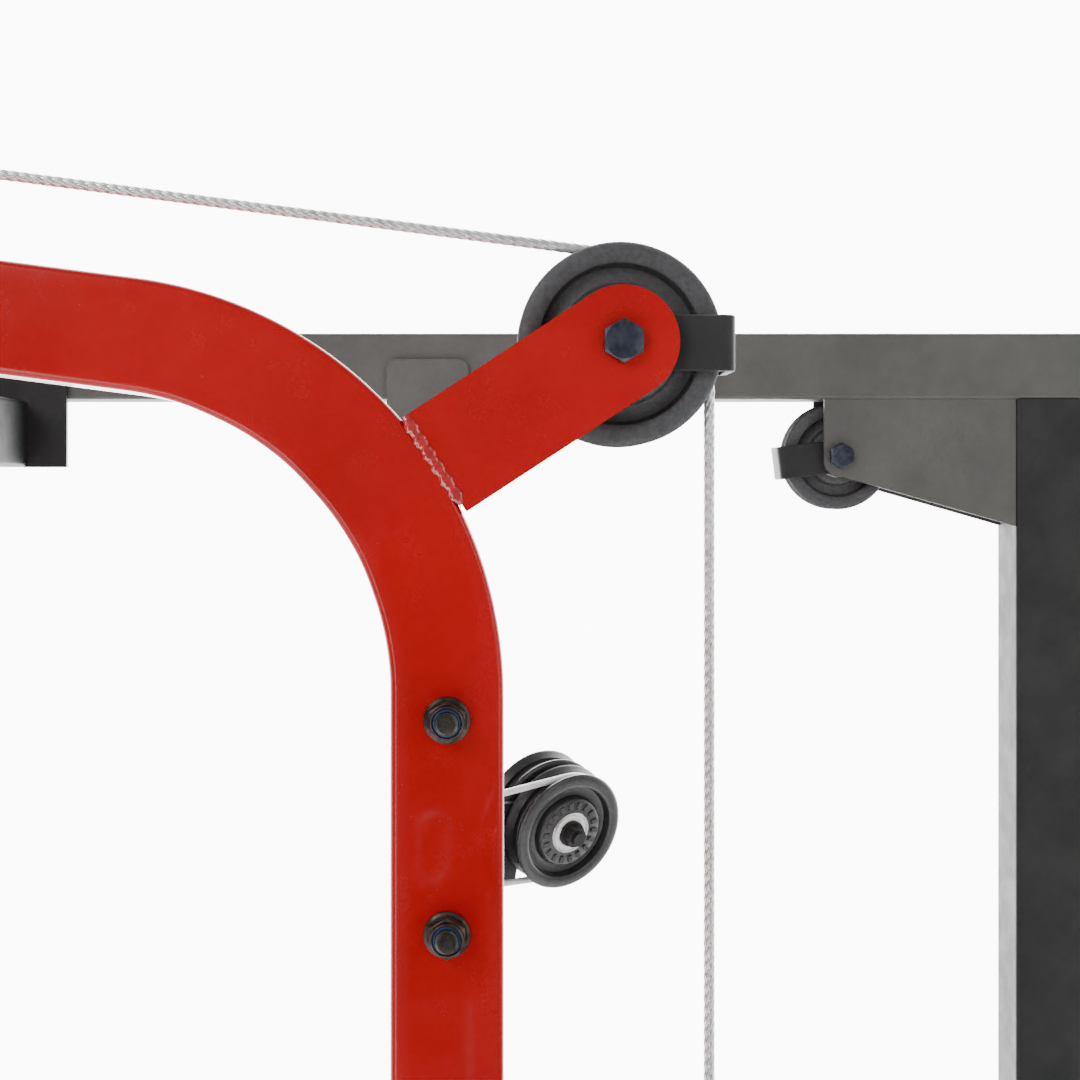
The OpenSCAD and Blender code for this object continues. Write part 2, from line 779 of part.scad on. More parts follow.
// Channel under the rail with its pulley between the legs
module gussets() {
    front = side_axle[0] - 12.5;
    back = rear_y - half_t;
    low = side_axle[1] - 15;
    round_r = 11;
    slope = tan(16);
    color([0.17, 0.17, 0.17]) both_sides() translate([half_w, 0, 0]) difference() {
        union() {
            for (x0 = [-side_leg - side_leg_t, side_leg]) translate([x0, 0, 0])
                side_plane() linear_extrude(side_leg_t) {
                polygon([[front, rail_z], [front, low + round_r], [front + round_r, low],
                         [back, low - slope * (back - front - round_r)], [back, rail_z]]);
                translate([front + round_r, low + round_r]) circle(round_r);
            }
            block([-side_leg, side_axle[0] + 26, rail_z - side_leg_t], [side_leg, back, rail_z]);
        }
        rod_x(-tube, tube, side_axle[0], side_axle[1], m10_hole_r);
    }
}

module sheave_side_right() {
    color([0.15, 0.15, 0.15]) translate([half_w, 0, 0]) sheave_x(side_axle[0], side_axle[1], side_r);
}

module sheave_side_left() {
    color([0.15, 0.15, 0.15]) translate([-half_w, 0, 0]) sheave_x(side_axle[0], side_axle[1], side_r);
}

// ---- Swivel pulleys on the mid uprights ----

// Lugs on the uprights' inner faces that hold the pivots
module swivel_mounts() {
    color([0.10, 0.10, 0.10]) both_sides() for (s = [-1, 1]) {
        z0 = pivot_z + s * (pivot_half + 4) - 3;
        difference() {
            union() {
                block([pivot_x, pivot_y - 20, z0], [in_x - splice_t, pivot_y + 4, z0 + 6]);
                translate([pivot_x, pivot_y, z0]) cylinder(h = 6, r = 20);
                block([in_x - splice_t, mid_y - half_t, s > 0 ? z0 : z0 - 34],
                      [in_x, pivot_y + 4, s > 0 ? z0 + 40 : z0 + 6]);
                translate([pivot_x, pivot_y, s > 0 ? z0 - 14 : z0 + 6])
                    cylinder(h = 14, r = pivot_bore - 0.05);
            }
            translate([pivot_x, pivot_y, z0 - 20]) cylinder(h = 50, r = 6);
            rod_x(in_x - 10, in_x + 10, mid_y, pivot_z + s * mount_bolt, m10_hole_r);
        }
    }
}

// The parked swivel's frame: local X runs from the pivot to the axle, local -Y faces the cage's middle
module swivel_place() {
    translate([-pivot_x, pivot_y, 0]) rotate([0, 0, 90 + swivel_a]) children();
}

module swivel_axle_place() {
    swivel_place() translate([swivel_reach, 0, swivel_z]) rotate([swivel_tilt, 0, 0])
        rotate([-90, 0, 0]) children();
}

module swivel_frame() {
    color([0.10, 0.10, 0.10]) {
        difference() {
            union() {
                swivel_place() translate([0, 0, pivot_z - pivot_half])
                    cylinder(h = 2 * pivot_half, r = pivot_r);
                swivel_place() translate([0, 0, swivel_z]) rotate([swivel_tilt, 0, 0]) {
                    translate([12, -swivel_plate / 2, -50]) cube([36, swivel_plate, 34]);
                    translate([24, -swivel_plate / 2, -18]) cube([swivel_reach - 24, swivel_plate, 36]);
                    translate([swivel_reach, swivel_plate / 2, 0]) rotate([90, 0, 0])
                        cylinder(h = swivel_plate, r = 18);
                }
                swivel_axle_place() cylinder(h = 2 * wheel_off + sheave_w + 2, r = bush_r, center = true);
                swivel_axle_place() cylinder(h = 2 * wheel_off + sheave_w + 24, r = m10_r, center = true);
            }
            swivel_place() translate([0, 0, pivot_z - pivot_half - 1])
                cylinder(h = 2 * pivot_half + 2, r = pivot_bore);
            swivel_axle_place() translate([0, pitch_r, -wheel_off]) rotate([0, -90, 0])
                cylinder(h = swivel_reach, r = cable_d / 2 + 1);
        }
        swivel_axle_place() for (s = [-1, 1]) mirror([0, 0, s > 0 ? 0 : 1])
            translate([0, 0, wheel_off + sheave_w / 2 + 1]) difference() {
                union() {
                    cylinder(h = 1.5, r = washer_r);
                    translate([0, 0, 1.5]) cylinder(h = 6.5, r = 8.5, $fn = 6);
                }
                translate([0, 0, -1]) cylinder(h = 12, r = m10_r + 0.1);
            }
    }
}

module swivel_left() {
    swivel_frame();
}

module swivel_right() {
    mirror([1, 0, 0]) swivel_frame();
}

// Wheel on the common axle; side is -1 for the wheel that faces the cage's middle
module swivel_wheel(side) {
    color([0.06, 0.06, 0.06]) swivel_axle_place() translate([0, 0, side * wheel_off]) sheave();
}

module sheave_left_inner() {
    swivel_wheel(-1);
}

module sheave_left_outer() {
    swivel_wheel(1);
}

module sheave_right_inner() {
    mirror([1, 0, 0]) swivel_wheel(-1);
}

module sheave_right_outer() {
    mirror([1, 0, 0]) swivel_wheel(1);
}

// Straight run of each side cable, from the lower lug into the base crossmember
module side_cables() {
    color([0.75, 0.75, 0.75]) for (s = [-1, 1])
        cable_line([s * pivot_x, pivot_y, foot_h + wall + 2], [s * pivot_x, pivot_y, pivot_z - 20]);
}

// Stop ball with a flat on each end where the cable enters
module stop_ball() {
    flat = ball_r - 2;
    rotate_extrude() polygon([[0, 0], for (a = [-60:15:60]) [ball_r * cos(a), flat + flat * sin(a) / sin(65)],
                              [0, 2 * flat]]);
}

// Handle end of a side cable: over the inner wheel, and back under it towards the pivot
module handle_cable() {
    over = 8;
    gap = 0.05;
    run = swivel_reach - 4;
    ball_end = run + 2 * (ball_r - 2) + 4 * gap;
    swivel_axle_place() translate([0, 0, -wheel_off]) {
        color([0.75, 0.75, 0.75]) {
            rotate([0, 0, -90 - over])
                rotate_extrude(angle = 180 + over) translate([pitch_r, 0]) circle(cable_d / 2);
            rotate([0, 0, -over]) translate([-gap, -pitch_r, 0]) rotate([0, -90, 0])
                cylinder(h = run, d = cable_d);
            translate([-gap, pitch_r, 0]) rotate([0, -90, 0]) cylinder(h = swivel_reach - 14, d = cable_d);
        }
        color([0.05, 0.05, 0.05]) rotate([0, 0, -over]) translate([-run - 2 * gap, -pitch_r, 0])
            rotate([0, -90, 0]) stop_ball();
        color([0.70, 0.70, 0.70]) rotate([0, 0, -over]) translate([-ball_end - 15, 5 - pitch_r, 0])
            rotate([-90, 0, 0]) translate([0, 0, 15]) link(6);
    }
}

module handle_cable_left() {
    handle_cable();
}

module handle_cable_right() {
    mirror([1, 0, 0]) handle_cable();
}

// ---- Fittings ----

module safety_end(y) {
    for (x0 = [in_x - 7, in_x + tube + 1])
        block([x0, y - 35, safety_z - 40], [x0 + 6, y + 35, safety_z + 40]);
    rod_x(in_x - 7, in_x + tube + 1, y, safety_z, 8);
}

// Bars between the uprights that catch the barbell, each with a cross pin at both ends
module safety_bars() {
    y1 = front_y + half_t + 1;
    y2 = mid_y - half_t - 1;
    color([0.13, 0.13, 0.13]) both_sides() {
        tube_y(half_w, y1, y2, safety_z);
        for (y = [y1, y2 - 6]) block([in_x - 7, y, safety_z - 40], [in_x + tube + 7, y + 6, safety_z + 40]);
        safety_end(front_y);
        safety_end(mid_y);
    }
}

// Bar hooks on the inside of the front uprights
module j_hooks() {
    y1 = front_y + half_t + 1;
    color([0.80, 0.0, 0.03]) both_sides() {
        block([in_x - 7, y1, hook_z - 40], [in_x + tube + 7, y1 + 8, hook_z + 60]);
        block([half_w - 22, y1 + 8, hook_z - 30], [half_w + 22, y1 + 80, hook_z - 20]);
        block([half_w - 22, y1 + 72, hook_z - 20], [half_w + 22, y1 + 80, hook_z + 20]);
        for (x0 = [in_x - 7, in_x + tube + 1])
            block([x0, front_y - 18, hook_z - 25], [x0 + 6, y1, hook_z + 25]);
        rod_x(in_x - 7, in_x + tube + 1, front_y, hook_z, 8);
    }
}

module plate_pegs() {
    x1 = in_x + tube;
    color([0.82, 0.83, 0.84]) both_sides() for (z = peg_heights) {
        rod_x(x1, x1 + 6, rear_y, z, 24);
        rod_x(x1 + 6, x1 + peg_len, rear_y, z, peg_r);
        rod_x(in_x - nut_h - 3, x1, rear_y, z, m10_r);
    }
}

// Places of the frame's bolts along X, on the right side, as [inner x, outer x, y, z]
FRAME_BOLTS = [
    for (y = [front_y, mid_y, rear_y], b = splice_bolts) [in_x, in_x + tube + splice_t, y, base_top + b],
    for (y = [front_y, mid_y], b = splice_bolts) [in_x - splice_t, in_x + tube + splice_t, y, rail_z - b],
    for (y = [tower_y, rear_y], s = [-1, 1]) [in_x - plate, in_x + tube, y + s * flange_bolt, foot_h + half_t],
    for (y = [arm_cross_y, pull_up_y], s = [-1, 1])
        [in_x - plate, in_x + tube, y + s * flange_bolt, rail_z + half_t],
    for (s = [-1, 1]) [in_x - splice_t, in_x + tube, mid_y, pivot_z + s * mount_bolt],
    for (s = [-1, 1]) [in_x - plate, in_x + tube, mid_y, cross_z + s * tall_bolt],
    for (s = [-1, 1]) [in_x - plate, in_x + tube, rear_y, rear_cross_z + s * tall_bolt]
];
TOWER_JOINTS = [for (s = [-1, 1]) cross_z + s * tall_bolt];

module frame_bolts() {
    color([0.12, 0.13, 0.16]) {
        both_sides() for (b = FRAME_BOLTS) bolt_x(b[0], b[1], b[2], b[3]);
        for (z = TOWER_JOINTS) bolt_x(-half_t - plate, half_t + plate, tower_y, z);
        for (s = [-1, 1]) translate([s * 50, tower_y, tower_foot]) {
            translate([0, 0, -25]) cylinder(h = 25, r = m10_r);
            cylinder(h = washer_h, r = washer_r);
            translate([0, 0, washer_h]) cylinder(h = head_h, r = hex_r, $fn = 6);
        }
    }
}

module lock_nuts() {
    color([0.12, 0.13, 0.16]) {
        both_sides() for (b = FRAME_BOLTS) nut_x(b[0], b[2], b[3], -1);
        for (z = TOWER_JOINTS) nut_x(-half_t - plate, tower_y, z, -1);
        for (p = [rear_axle, front_axle]) nut_x(-half_t, p[0], p[1], -1);
        for (s = [-1, 1]) nut_x(s * (half_w + side_leg + side_leg_t), side_axle[0], side_axle[1], s);
        both_sides() for (z = peg_heights) nut_x(in_x, rear_y, z, -1);
    }
}

// Plastic plugs in the open tube ends
module tube_caps() {
    color([0.05, 0.05, 0.05]) {
        both_sides() {
            for (y = [-base_len / 2, base_len / 2 - 10]) translate([half_w, y + 10, foot_h + half_t])
                rotate([90, 0, 0]) linear_extrude(10) rounded(tube - 2 * wall, tube - 2 * wall, 2);
            for (y = [rail_front, rail_back - 10]) translate([half_w, y + 10, rail_z + half_t])
                rotate([90, 0, 0]) linear_extrude(10) rounded(tube - 2 * wall, tube - 2 * wall, 2);
        }
        for (s = [-1, 1]) translate([s > 0 ? rod_gap / 2 + 20 : -rod_gap / 2 - 30, rod_y, rod_top - rod_bar / 2 + 4])
            side_plane() linear_extrude(10) rounded(rod_bar - 2 * wall, rod_bar - 2 * wall, 2);
    }
}

rubber_feet();
base_rails();
base_crossmembers();
front_uprights();
mid_uprights();
rear_columns();
top_rails();
splice_plates();
pull_up_bar();
arm_crossmember();
rear_crossmember();
tower();
tower_crossmembers();
pulley_bracket();
weld_beads();
arm_bracket();
cable_straps();
pulley_bolts();
pulley_bushes();
pulley_spacers();
sheave_rear();
sheave_front();
tower_bolts();
tower_nuts();
accessory_rack();
guide_rods();
rod_bracket();
rod_base();
buffers();
carriage_frame();
carriage_bushes();
plate_horns();
cable_eye();
cable_rear();
cable_top();
cable_front();
snap_link();
lat_bar();
lat_grips();
gussets();
sheave_side_left();
sheave_side_right();
swivel_mounts();
swivel_left();
swivel_right();
sheave_left_inner();
sheave_left_outer();
sheave_right_inner();
sheave_right_outer();
side_cables();
handle_cable_left();
handle_cable_right();
safety_bars();
j_hooks();
plate_pegs();
frame_bolts();
lock_nuts();
tube_caps();
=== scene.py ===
import itertools
import math
import bpy
from mathutils import Matrix, Vector


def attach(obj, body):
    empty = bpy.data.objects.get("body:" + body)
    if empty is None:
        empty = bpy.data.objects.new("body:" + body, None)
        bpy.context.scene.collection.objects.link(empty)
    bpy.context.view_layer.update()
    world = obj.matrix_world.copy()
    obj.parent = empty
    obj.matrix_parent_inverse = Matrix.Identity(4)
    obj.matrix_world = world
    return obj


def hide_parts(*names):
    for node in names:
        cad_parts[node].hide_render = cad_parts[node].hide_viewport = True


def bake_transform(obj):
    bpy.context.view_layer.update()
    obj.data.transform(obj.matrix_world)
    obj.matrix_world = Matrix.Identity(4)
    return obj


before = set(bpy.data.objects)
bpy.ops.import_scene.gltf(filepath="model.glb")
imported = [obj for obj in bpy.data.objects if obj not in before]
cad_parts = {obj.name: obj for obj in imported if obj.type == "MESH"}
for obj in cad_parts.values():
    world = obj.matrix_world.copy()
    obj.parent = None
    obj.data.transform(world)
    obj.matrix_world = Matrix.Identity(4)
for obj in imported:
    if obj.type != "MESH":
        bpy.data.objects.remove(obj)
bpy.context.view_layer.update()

MM = 0.001
TAU = math.tau

# ---- Camera ----

cam_data = bpy.data.cameras.new("camera")
cam = bpy.data.objects.new("camera", cam_data)
bpy.context.scene.collection.objects.link(cam)
cam.location = (0.805, 0.260, 1.956)
cam.rotation_euler = (math.radians(90), 0, math.radians(90))
cam_data.lens = 59.3
cam_data.sensor_width = 36
cam_data.shift_x = 0.065
cam_data.shift_y = -0.0463
cam_data.clip_start = 0.34
cam_data.clip_end = 30
bpy.context.scene.camera = cam

# ---- Sizes shared with the CAD model ----

# Square tube: half a side, and the middle and inner face of the side frames' tubes.
HALF, HALF_W, IN_X = 25, 570, 545
# The uprights and crossmembers, front to rear.
FRONT_Y, PULL_UP_Y, ARM_CROSS_Y, MID_Y, TOWER_Y, REAR_Y = -740, -620, -100, 228, 250, 700
# Heights: base tube's middle and top, tower foot plate's top, crossmembers, top rail's underside.
BASE_Z, BASE_TOP, PLATE_TOP, REAR_CROSS_Z, CROSS_Z, RAIL_Z = 31, 56, 62, 1400, 1450, 2025
# Bolts: distance from the tube's end, and half the distance between the two of a pair.
SPLICE_BOLTS, TALL_BOLT, FLANGE_BOLT, MOUNT_BOLT = (35, 65), 35, 40, 70
PEG_HEIGHTS = (500, 900)
# The tower's bend, its arm, and the two axles that stand above them.
BEND_C, BEND_R, BEND_A = (90, 1866), 160, math.radians(82.64)
ARM_LEN, AXLE_RUN = 364, 424
AXLE_REACH, AXLE_LEAN = 283.6, math.radians(33.2)
ARM_DIR = (-math.sin(BEND_A), math.cos(BEND_A))
ARM_UP = (math.cos(BEND_A), math.sin(BEND_A))
REAR = (BEND_C[0] + AXLE_REACH * math.cos(AXLE_LEAN), BEND_C[1] + AXLE_REACH * math.sin(AXLE_LEAN))
LIFT = (REAR[0] - BEND_C[0]) * ARM_UP[0] + (REAR[1] - BEND_C[1]) * ARM_UP[1]
FRONT = tuple(BEND_C[i] + LIFT * ARM_UP[i] + AXLE_RUN * ARM_DIR[i] for i in (0, 1))
SIDE = (542, 1982)
# Cable: the radius of its path round a wheel, and its own.
PITCH, CABLE_R = 41, 2.5
# Wheels, and half the width of a side wheel's channel.
WHEEL_R, SIDE_WHEEL_R, SIDE_HALF = 46, 41, 23
# Bolts: head across flats and its height, washer's bore, shank, and washer's thickness.
ACROSS, HEAD_H, BORE_R, SHANK_R, WASHER_T = 17, 6.4, 5.3, 4.95, 2
ROD_Y, LAT_Y, LAT_Z = REAR[0] + PITCH, FRONT[0] - PITCH, 1840
# Left swivel station: pivot, axle, and its turn from ahead and tilt.
PIVOT, PIVOT_Z, SWIVEL_Z, REACH, WHEEL_OFF = (-503, 260), 1652, 1707, 74, 14
SWIVEL_TURN, SWIVEL_TILT = math.radians(123), math.radians(16)
# The tower's two bolts.
BOLT_Z, BOLT_GAP = 1855, 94


# ---- Materials ----

def node_mat(name):
    m = bpy.data.materials.new(name)
    m.use_nodes = True
    t = m.node_tree
    return m, t, t.nodes["Principled BSDF"]


def grain_of(t, scale, detail=4.0, rough=0.6, stretch=(1, 1, 1)):
    c = t.nodes.new("ShaderNodeTexCoord")
    p = t.nodes.new("ShaderNodeMapping")
    p.inputs["Scale"].default_value = stretch
    n = t.nodes.new("ShaderNodeTexNoise")
    n.inputs["Scale"].default_value = scale
    n.inputs["Detail"].default_value = detail
    n.inputs["Roughness"].default_value = rough
    t.links.new(c.outputs["Object"], p.inputs["Vector"])
    t.links.new(p.outputs["Vector"], n.inputs["Vector"])
    return n.outputs["Fac"]


def spread(t, fac, low, high, a=0.35, b=0.65):
    r = t.nodes.new("ShaderNodeMapRange")
    r.inputs["From Min"].default_value = a
    r.inputs["From Max"].default_value = b
    r.inputs["To Min"].default_value = low
    r.inputs["To Max"].default_value = high
    t.links.new(fac, r.inputs["Value"])
    return r.outputs["Result"]


def ramp(t, fac, dark, light, a=0.35, b=0.65):
    r = t.nodes.new("ShaderNodeValToRGB")
    r.color_ramp.elements[0].position = a
    r.color_ramp.elements[1].position = b
    r.color_ramp.elements[0].color = (*dark, 1)
    r.color_ramp.elements[1].color = (*light, 1)
    t.links.new(fac, r.inputs["Fac"])
    return r.outputs["Color"]


def bump(t, shader, fac, strength, distance, before=None):
    b = t.nodes.new("ShaderNodeBump")
    b.inputs["Strength"].default_value = strength
    b.inputs["Distance"].default_value = distance
    t.links.new(fac, b.inputs["Height"])
    if before is not None:
        t.links.new(before, b.inputs["Normal"])
    t.links.new(b.outputs["Normal"], shader.inputs["Normal"])
    return b.outputs["Normal"]


def make(name, dark, light, rough=(0.3, 0.4), metal=0.0, spec=0.5, coat=0.0, coat_rough=0.05,
         grain=900, grain_h=0.00003, wave=0, wave_h=0.0, patch=14, stretch=(1, 1, 1), rough_scale=60):
    m, t, s = node_mat(name)
    t.links.new(ramp(t, grain_of(t, patch, 5, 0.6, stretch), dark, light), s.inputs["Base Color"])
    t.links.new(spread(t, grain_of(t, rough_scale, 4, 0.6, stretch), *rough), s.inputs["Roughness"])
    s.inputs["Metallic"].default_value = metal
    s.inputs["Specular IOR Level"].default_value = spec
    s.inputs["Coat Weight"].default_value = coat
    s.inputs["Coat Roughness"].default_value = coat_rough
    first = None
    if wave:
        first = bump(t, s, grain_of(t, wave, 1.5, 0.4), 0.6, wave_h)
    bump(t, s, grain_of(t, grain, 3, 0.6, stretch), 0.8, grain_h, first)
    return m


RED = make("red_powder", (0.29, 0.0, 0.0), (0.35, 0.0, 0.001), (0.22, 0.28), spec=0.22, coat=0.18,
           grain=520, grain_h=0.00006, wave=38, wave_h=0.0003, patch=9)
WELD = make("red_weld", (0.22, 0.0, 0.001), (0.40, 0.0, 0.002), (0.12, 0.22), spec=0.6, coat=0.7,
            grain=900, grain_h=0.00009, wave=260, wave_h=0.0002, patch=240)
BLACK = make("black_powder", (0.012, 0.012, 0.013), (0.020, 0.020, 0.020), (0.46, 0.56), spec=0.22,
             grain=1500, grain_h=0.00008, patch=20)
GREY = make("rail_powder", (0.060, 0.060, 0.056), (0.078, 0.078, 0.072), (0.55, 0.65), spec=0.35,
            grain=1300, grain_h=0.00010, patch=16)
NYLON = make("black_nylon", (0.030, 0.031, 0.033), (0.048, 0.049, 0.052), (0.45, 0.62), spec=0.4,
             grain=1100, grain_h=0.00016, patch=420, rough_scale=700)
WHEEL = make("swivel_nylon", (0.012, 0.012, 0.013), (0.024, 0.024, 0.026), (0.30, 0.42), spec=0.5,
             grain=1100, grain_h=0.00007, patch=300, rough_scale=500)
ZINC = make("dark_zinc", (0.018, 0.020, 0.032), (0.05, 0.055, 0.08), (0.26, 0.42), metal=0.75,
            grain=1200, grain_h=0.00005, patch=160)
BRONZE = make("bronze_zinc", (0.022, 0.019, 0.017), (0.075, 0.060, 0.050), (0.28, 0.42), metal=0.8,
              grain=1200, grain_h=0.00005, patch=180)
STEEL = make("bare_steel", (0.42, 0.42, 0.42), (0.58, 0.58, 0.57), (0.24, 0.38), metal=1.0,
             grain=700, grain_h=0.00003, patch=90)
WIRE = make("steel_wire", (0.46, 0.46, 0.46), (0.66, 0.66, 0.65), (0.26, 0.38), metal=0.75,
            grain=1500, grain_h=0.00003, patch=320)
SLEEVE = make("white_sleeve", (0.66, 0.66, 0.64), (0.78, 0.78, 0.76), (0.26, 0.36), spec=0.5, coat=0.3,
              grain=800, grain_h=0.00004, patch=120)
CHROME = make("chrome", (0.70, 0.71, 0.73), (0.80, 0.81, 0.82), (0.07, 0.13), metal=1.0,
              grain=260, grain_h=0.000008, patch=30)
RUBBER = make("black_rubber", (0.016, 0.016, 0.016), (0.028, 0.028, 0.027), (0.62, 0.78), spec=0.3,
              grain=700, grain_h=0.00014, patch=60)
WHITE = make("white_nylon", (0.70, 0.70, 0.66), (0.82, 0.82, 0.79), (0.35, 0.5), spec=0.4,
             grain=900, grain_h=0.00004, patch=60)
BLUE = make("blue_nylon", (0.012, 0.035, 0.11), (0.02, 0.055, 0.17), (0.35, 0.5), spec=0.4,
            grain=900, grain_h=0.00004, patch=300)


# ---- Mesh builder ----

class Build:
    """Collects vertices in millimetres and makes one object of them."""

    def __init__(self):
        self.v, self.f, self.m, self.mats = [], [], [], []

    def add(self, verts, faces, mat, place=None):
        if mat not in self.mats:
            self.mats.append(mat)
        k, n = self.mats.index(mat), len(self.v)
        flip = place is not None and place.determinant() < 0
        for v in verts:
            p = Vector(v)
            self.v.append((place @ p if place is not None else p) * MM)
        for f in faces:
            g = [n + i for i in f]
            self.f.append(g[::-1] if flip else g)
            self.m.append(k)

    def done(self, name, body, nodes=(), slot=None, smooth=32):
        me = bpy.data.meshes.new(name)
        me.from_pydata([tuple(v) for v in self.v], [], self.f)
        for m in self.mats:
            me.materials.append(m)
        me.polygons.foreach_set("material_index", self.m)
        me.update()
        me.shade_smooth()
        me.set_sharp_from_angle(angle=math.radians(smooth))
        o = bpy.data.objects.new(name, me)
        bpy.context.scene.collection.objects.link(o)
        if body:
            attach(o, body)
        if nodes:
            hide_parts(*nodes)
        return o


def grid(rings, wrap=True, cap=False):
    """Faces that join equal rings of vertices, given one after the other."""
    verts, faces, n = [v for r in rings for v in r], [], len(rings[0])
    for i in range(len(rings) - 1):
        for j in range(n if wrap else n - 1):
            k = (j + 1) % n
            faces.append((i * n + j, i * n + k, (i + 1) * n + k, (i + 1) * n + j))
    if cap:
        faces.append(tuple(range(n))[::-1])
        faces.append(tuple((len(rings) - 1) * n + j for j in range(n)))
    return verts, faces


def lathe(profile, n=64):
    """Profile of (radius, height) turned about Z; a radius near 0 closes an end."""
    turns = [TAU * j / n for j in range(n)]
    return grid([[(r * math.cos(a), r * math.sin(a), z) for a in turns] for r, z in profile])


def ring(r0, r1, z0, z1, e=0.4, n=64):
    """Ring between two radii, with its edges broken by e."""
    return lathe([(r0 + e, z0), (r1 - e, z0), (r1, z0 + e), (r1, z1 - e), (r1 - e, z1), (r0 + e, z1),
                  (r0, z1 - e), (r0, z0 + e), (r0 + e, z0)], n)


def hex_solid(af, h, top=0.95, dish=0.4, n=72, bore=0.0):
    """Hex head or nut standing on z = 0, its point along +X, with the turned chamfer on top."""
    flat, slope = af / 2, 0.577
    turns = [TAU * j / n for j in range(n)]
    rim = [flat / math.cos(a % (TAU / 6) - TAU / 12) for a in turns]
    rows = [[(r, 0.0) for r in rim],
            [(r, h - max(0.0, r - flat * top) * slope) for r in rim]]
    rows += [[(r, z)] * n for r, z in (
        (flat * top, h), (flat * top - 0.5, h - 0.1),
        (max(flat * 0.55, bore + 0.4), h - dish), (max(bore, 0.01), h - dish))]
    return grid([[(r * math.cos(a), r * math.sin(a), z) for a, (r, z) in zip(turns, row)] for row in rows])


def thread(r, z0, z1, pitch=1.5, n=24):
    """Threaded stud end with a chamfered tip."""
    depth, tip = 0.55, 1.0
    prof, z, k = [(0.01, z0), (r, z0)], z0 + pitch / 2, 0
    while z < z1 - tip - 0.2:
        prof.append((r - depth if k % 2 == 0 else r, z))
        z, k = z + pitch / 2, k + 1
    prof += [(r, z1 - tip), (r - tip, z1), (0.01, z1)]
    return lathe(prof, n)


def along_x(pos, s, up=True):
    """Local +Z along s times X, with local +X upwards."""
    z = Vector((s, 0, 0))
    x = Vector((0, 0, 1)) if up else Vector((0, 1, 0))
    y = z.cross(x)
    m = Matrix((x, y, z)).transposed().to_4x4()
    m.translation = pos
    return m


CORNERS = tuple(itertools.product((-1, 1), repeat=3))


def box(lo, hi, e=0.6):
    """Box with every edge broken by e: each corner becomes three vertices and a triangle."""
    verts, faces, key = [], [], {}
    c = [(lo[i] + hi[i]) / 2 for i in range(3)]
    h = [(hi[i] - lo[i]) / 2 for i in range(3)]
    for s in CORNERS:
        for a in range(3):
            key[(s, a)] = len(verts)
            verts.append(tuple(c[i] + s[i] * (h[i] if i == a else h[i] - e) for i in range(3)))
    for a in range(3):
        b, d = (a + 1) % 3, (a + 2) % 3

        def corner(sa, sb, sd):
            s = [0, 0, 0]
            s[a], s[b], s[d] = sa, sb, sd
            return tuple(s)
        for s in (-1, 1):
            side = [key[(corner(s, p, q), a)] for p, q in ((-1, -1), (1, -1), (1, 1), (-1, 1))]
            faces.append(tuple(side if s > 0 else side[::-1]))
        for p, q in itertools.product((-1, 1), repeat=2):
            near, far = corner(-1, p, q), corner(1, p, q)
            edge = (key[(near, b)], key[(far, b)], key[(far, d)], key[(near, d)])
            faces.append(edge if p * q < 0 else edge[::-1])
    for s in CORNERS:
        f = (key[(s, 0)], key[(s, 1)], key[(s, 2)])
        faces.append(f if s[0] * s[1] * s[2] > 0 else f[::-1])
    return verts, faces


def sweep(path, outline_at, cap=True):
    """Outline carried along a path of (point, side, up) frames."""
    rings = []
    for i, (p, u, w) in enumerate(path):
        rings.append([p + u * a + w * b for a, b in outline_at(i)])
    return grid(rings, True, cap)


def rope_frames(points):
    """Frames along a path of points, turned as little as possible."""
    out, u = [], None
    for i, p in enumerate(points):
        t = (points[min(i + 1, len(points) - 1)] - points[max(i - 1, 0)]).normalized()
        if u is None:
            u = t.orthogonal().normalized()
        u = (u - t * u.dot(t)).normalized()
        out.append((p, u, t.cross(u)))
    return out


def even(points, step):
    """The same path with a point every step."""
    out, left = [points[0]], step
    for a, b in zip(points, points[1:]):
        d = (b - a).length
        at = left
        while at <= d:
            out.append(a.lerp(b, at / d))
            at += step
        left = at - d
    out.append(points[-1])
    return out


def rope(points, r=CABLE_R, lay=30.0, strands=6, n=36, step=1.0):
    """Twisted cable: a lobed outline that turns along the path."""
    valley, sharp = 0.74, 0.55
    pts = even([Vector(p) for p in points], step)
    run = [0.0]
    for a, b in zip(pts, pts[1:]):
        run.append(run[-1] + (b - a).length)

    def outline(i):
        tw = TAU * run[i] / lay
        row = []
        for j in range(n):
            a = TAU * j / n
            lobe = abs(math.sin(strands * (a - tw) / 2))
            k = r * (valley + (1 - valley) * lobe ** sharp)
            row.append((k * math.cos(a), k * math.sin(a)))
        return row
    return sweep(rope_frames(pts), outline)


def tube_path(points, r, n=20):
    """Round rod along a path."""
    row = [(r * math.cos(TAU * j / n), r * math.sin(TAU * j / n)) for j in range(n)]
    return sweep(rope_frames([Vector(p) for p in points]), lambda i: row)


def arc(c, r, a0, a1, n, plane):
    """Points on an arc; plane turns (u, v) into a point."""
    turns = [a0 + (a1 - a0) * i / n for i in range(n + 1)]
    return [plane(c[0] + r * math.cos(a), c[1] + r * math.sin(a)) for a in turns]


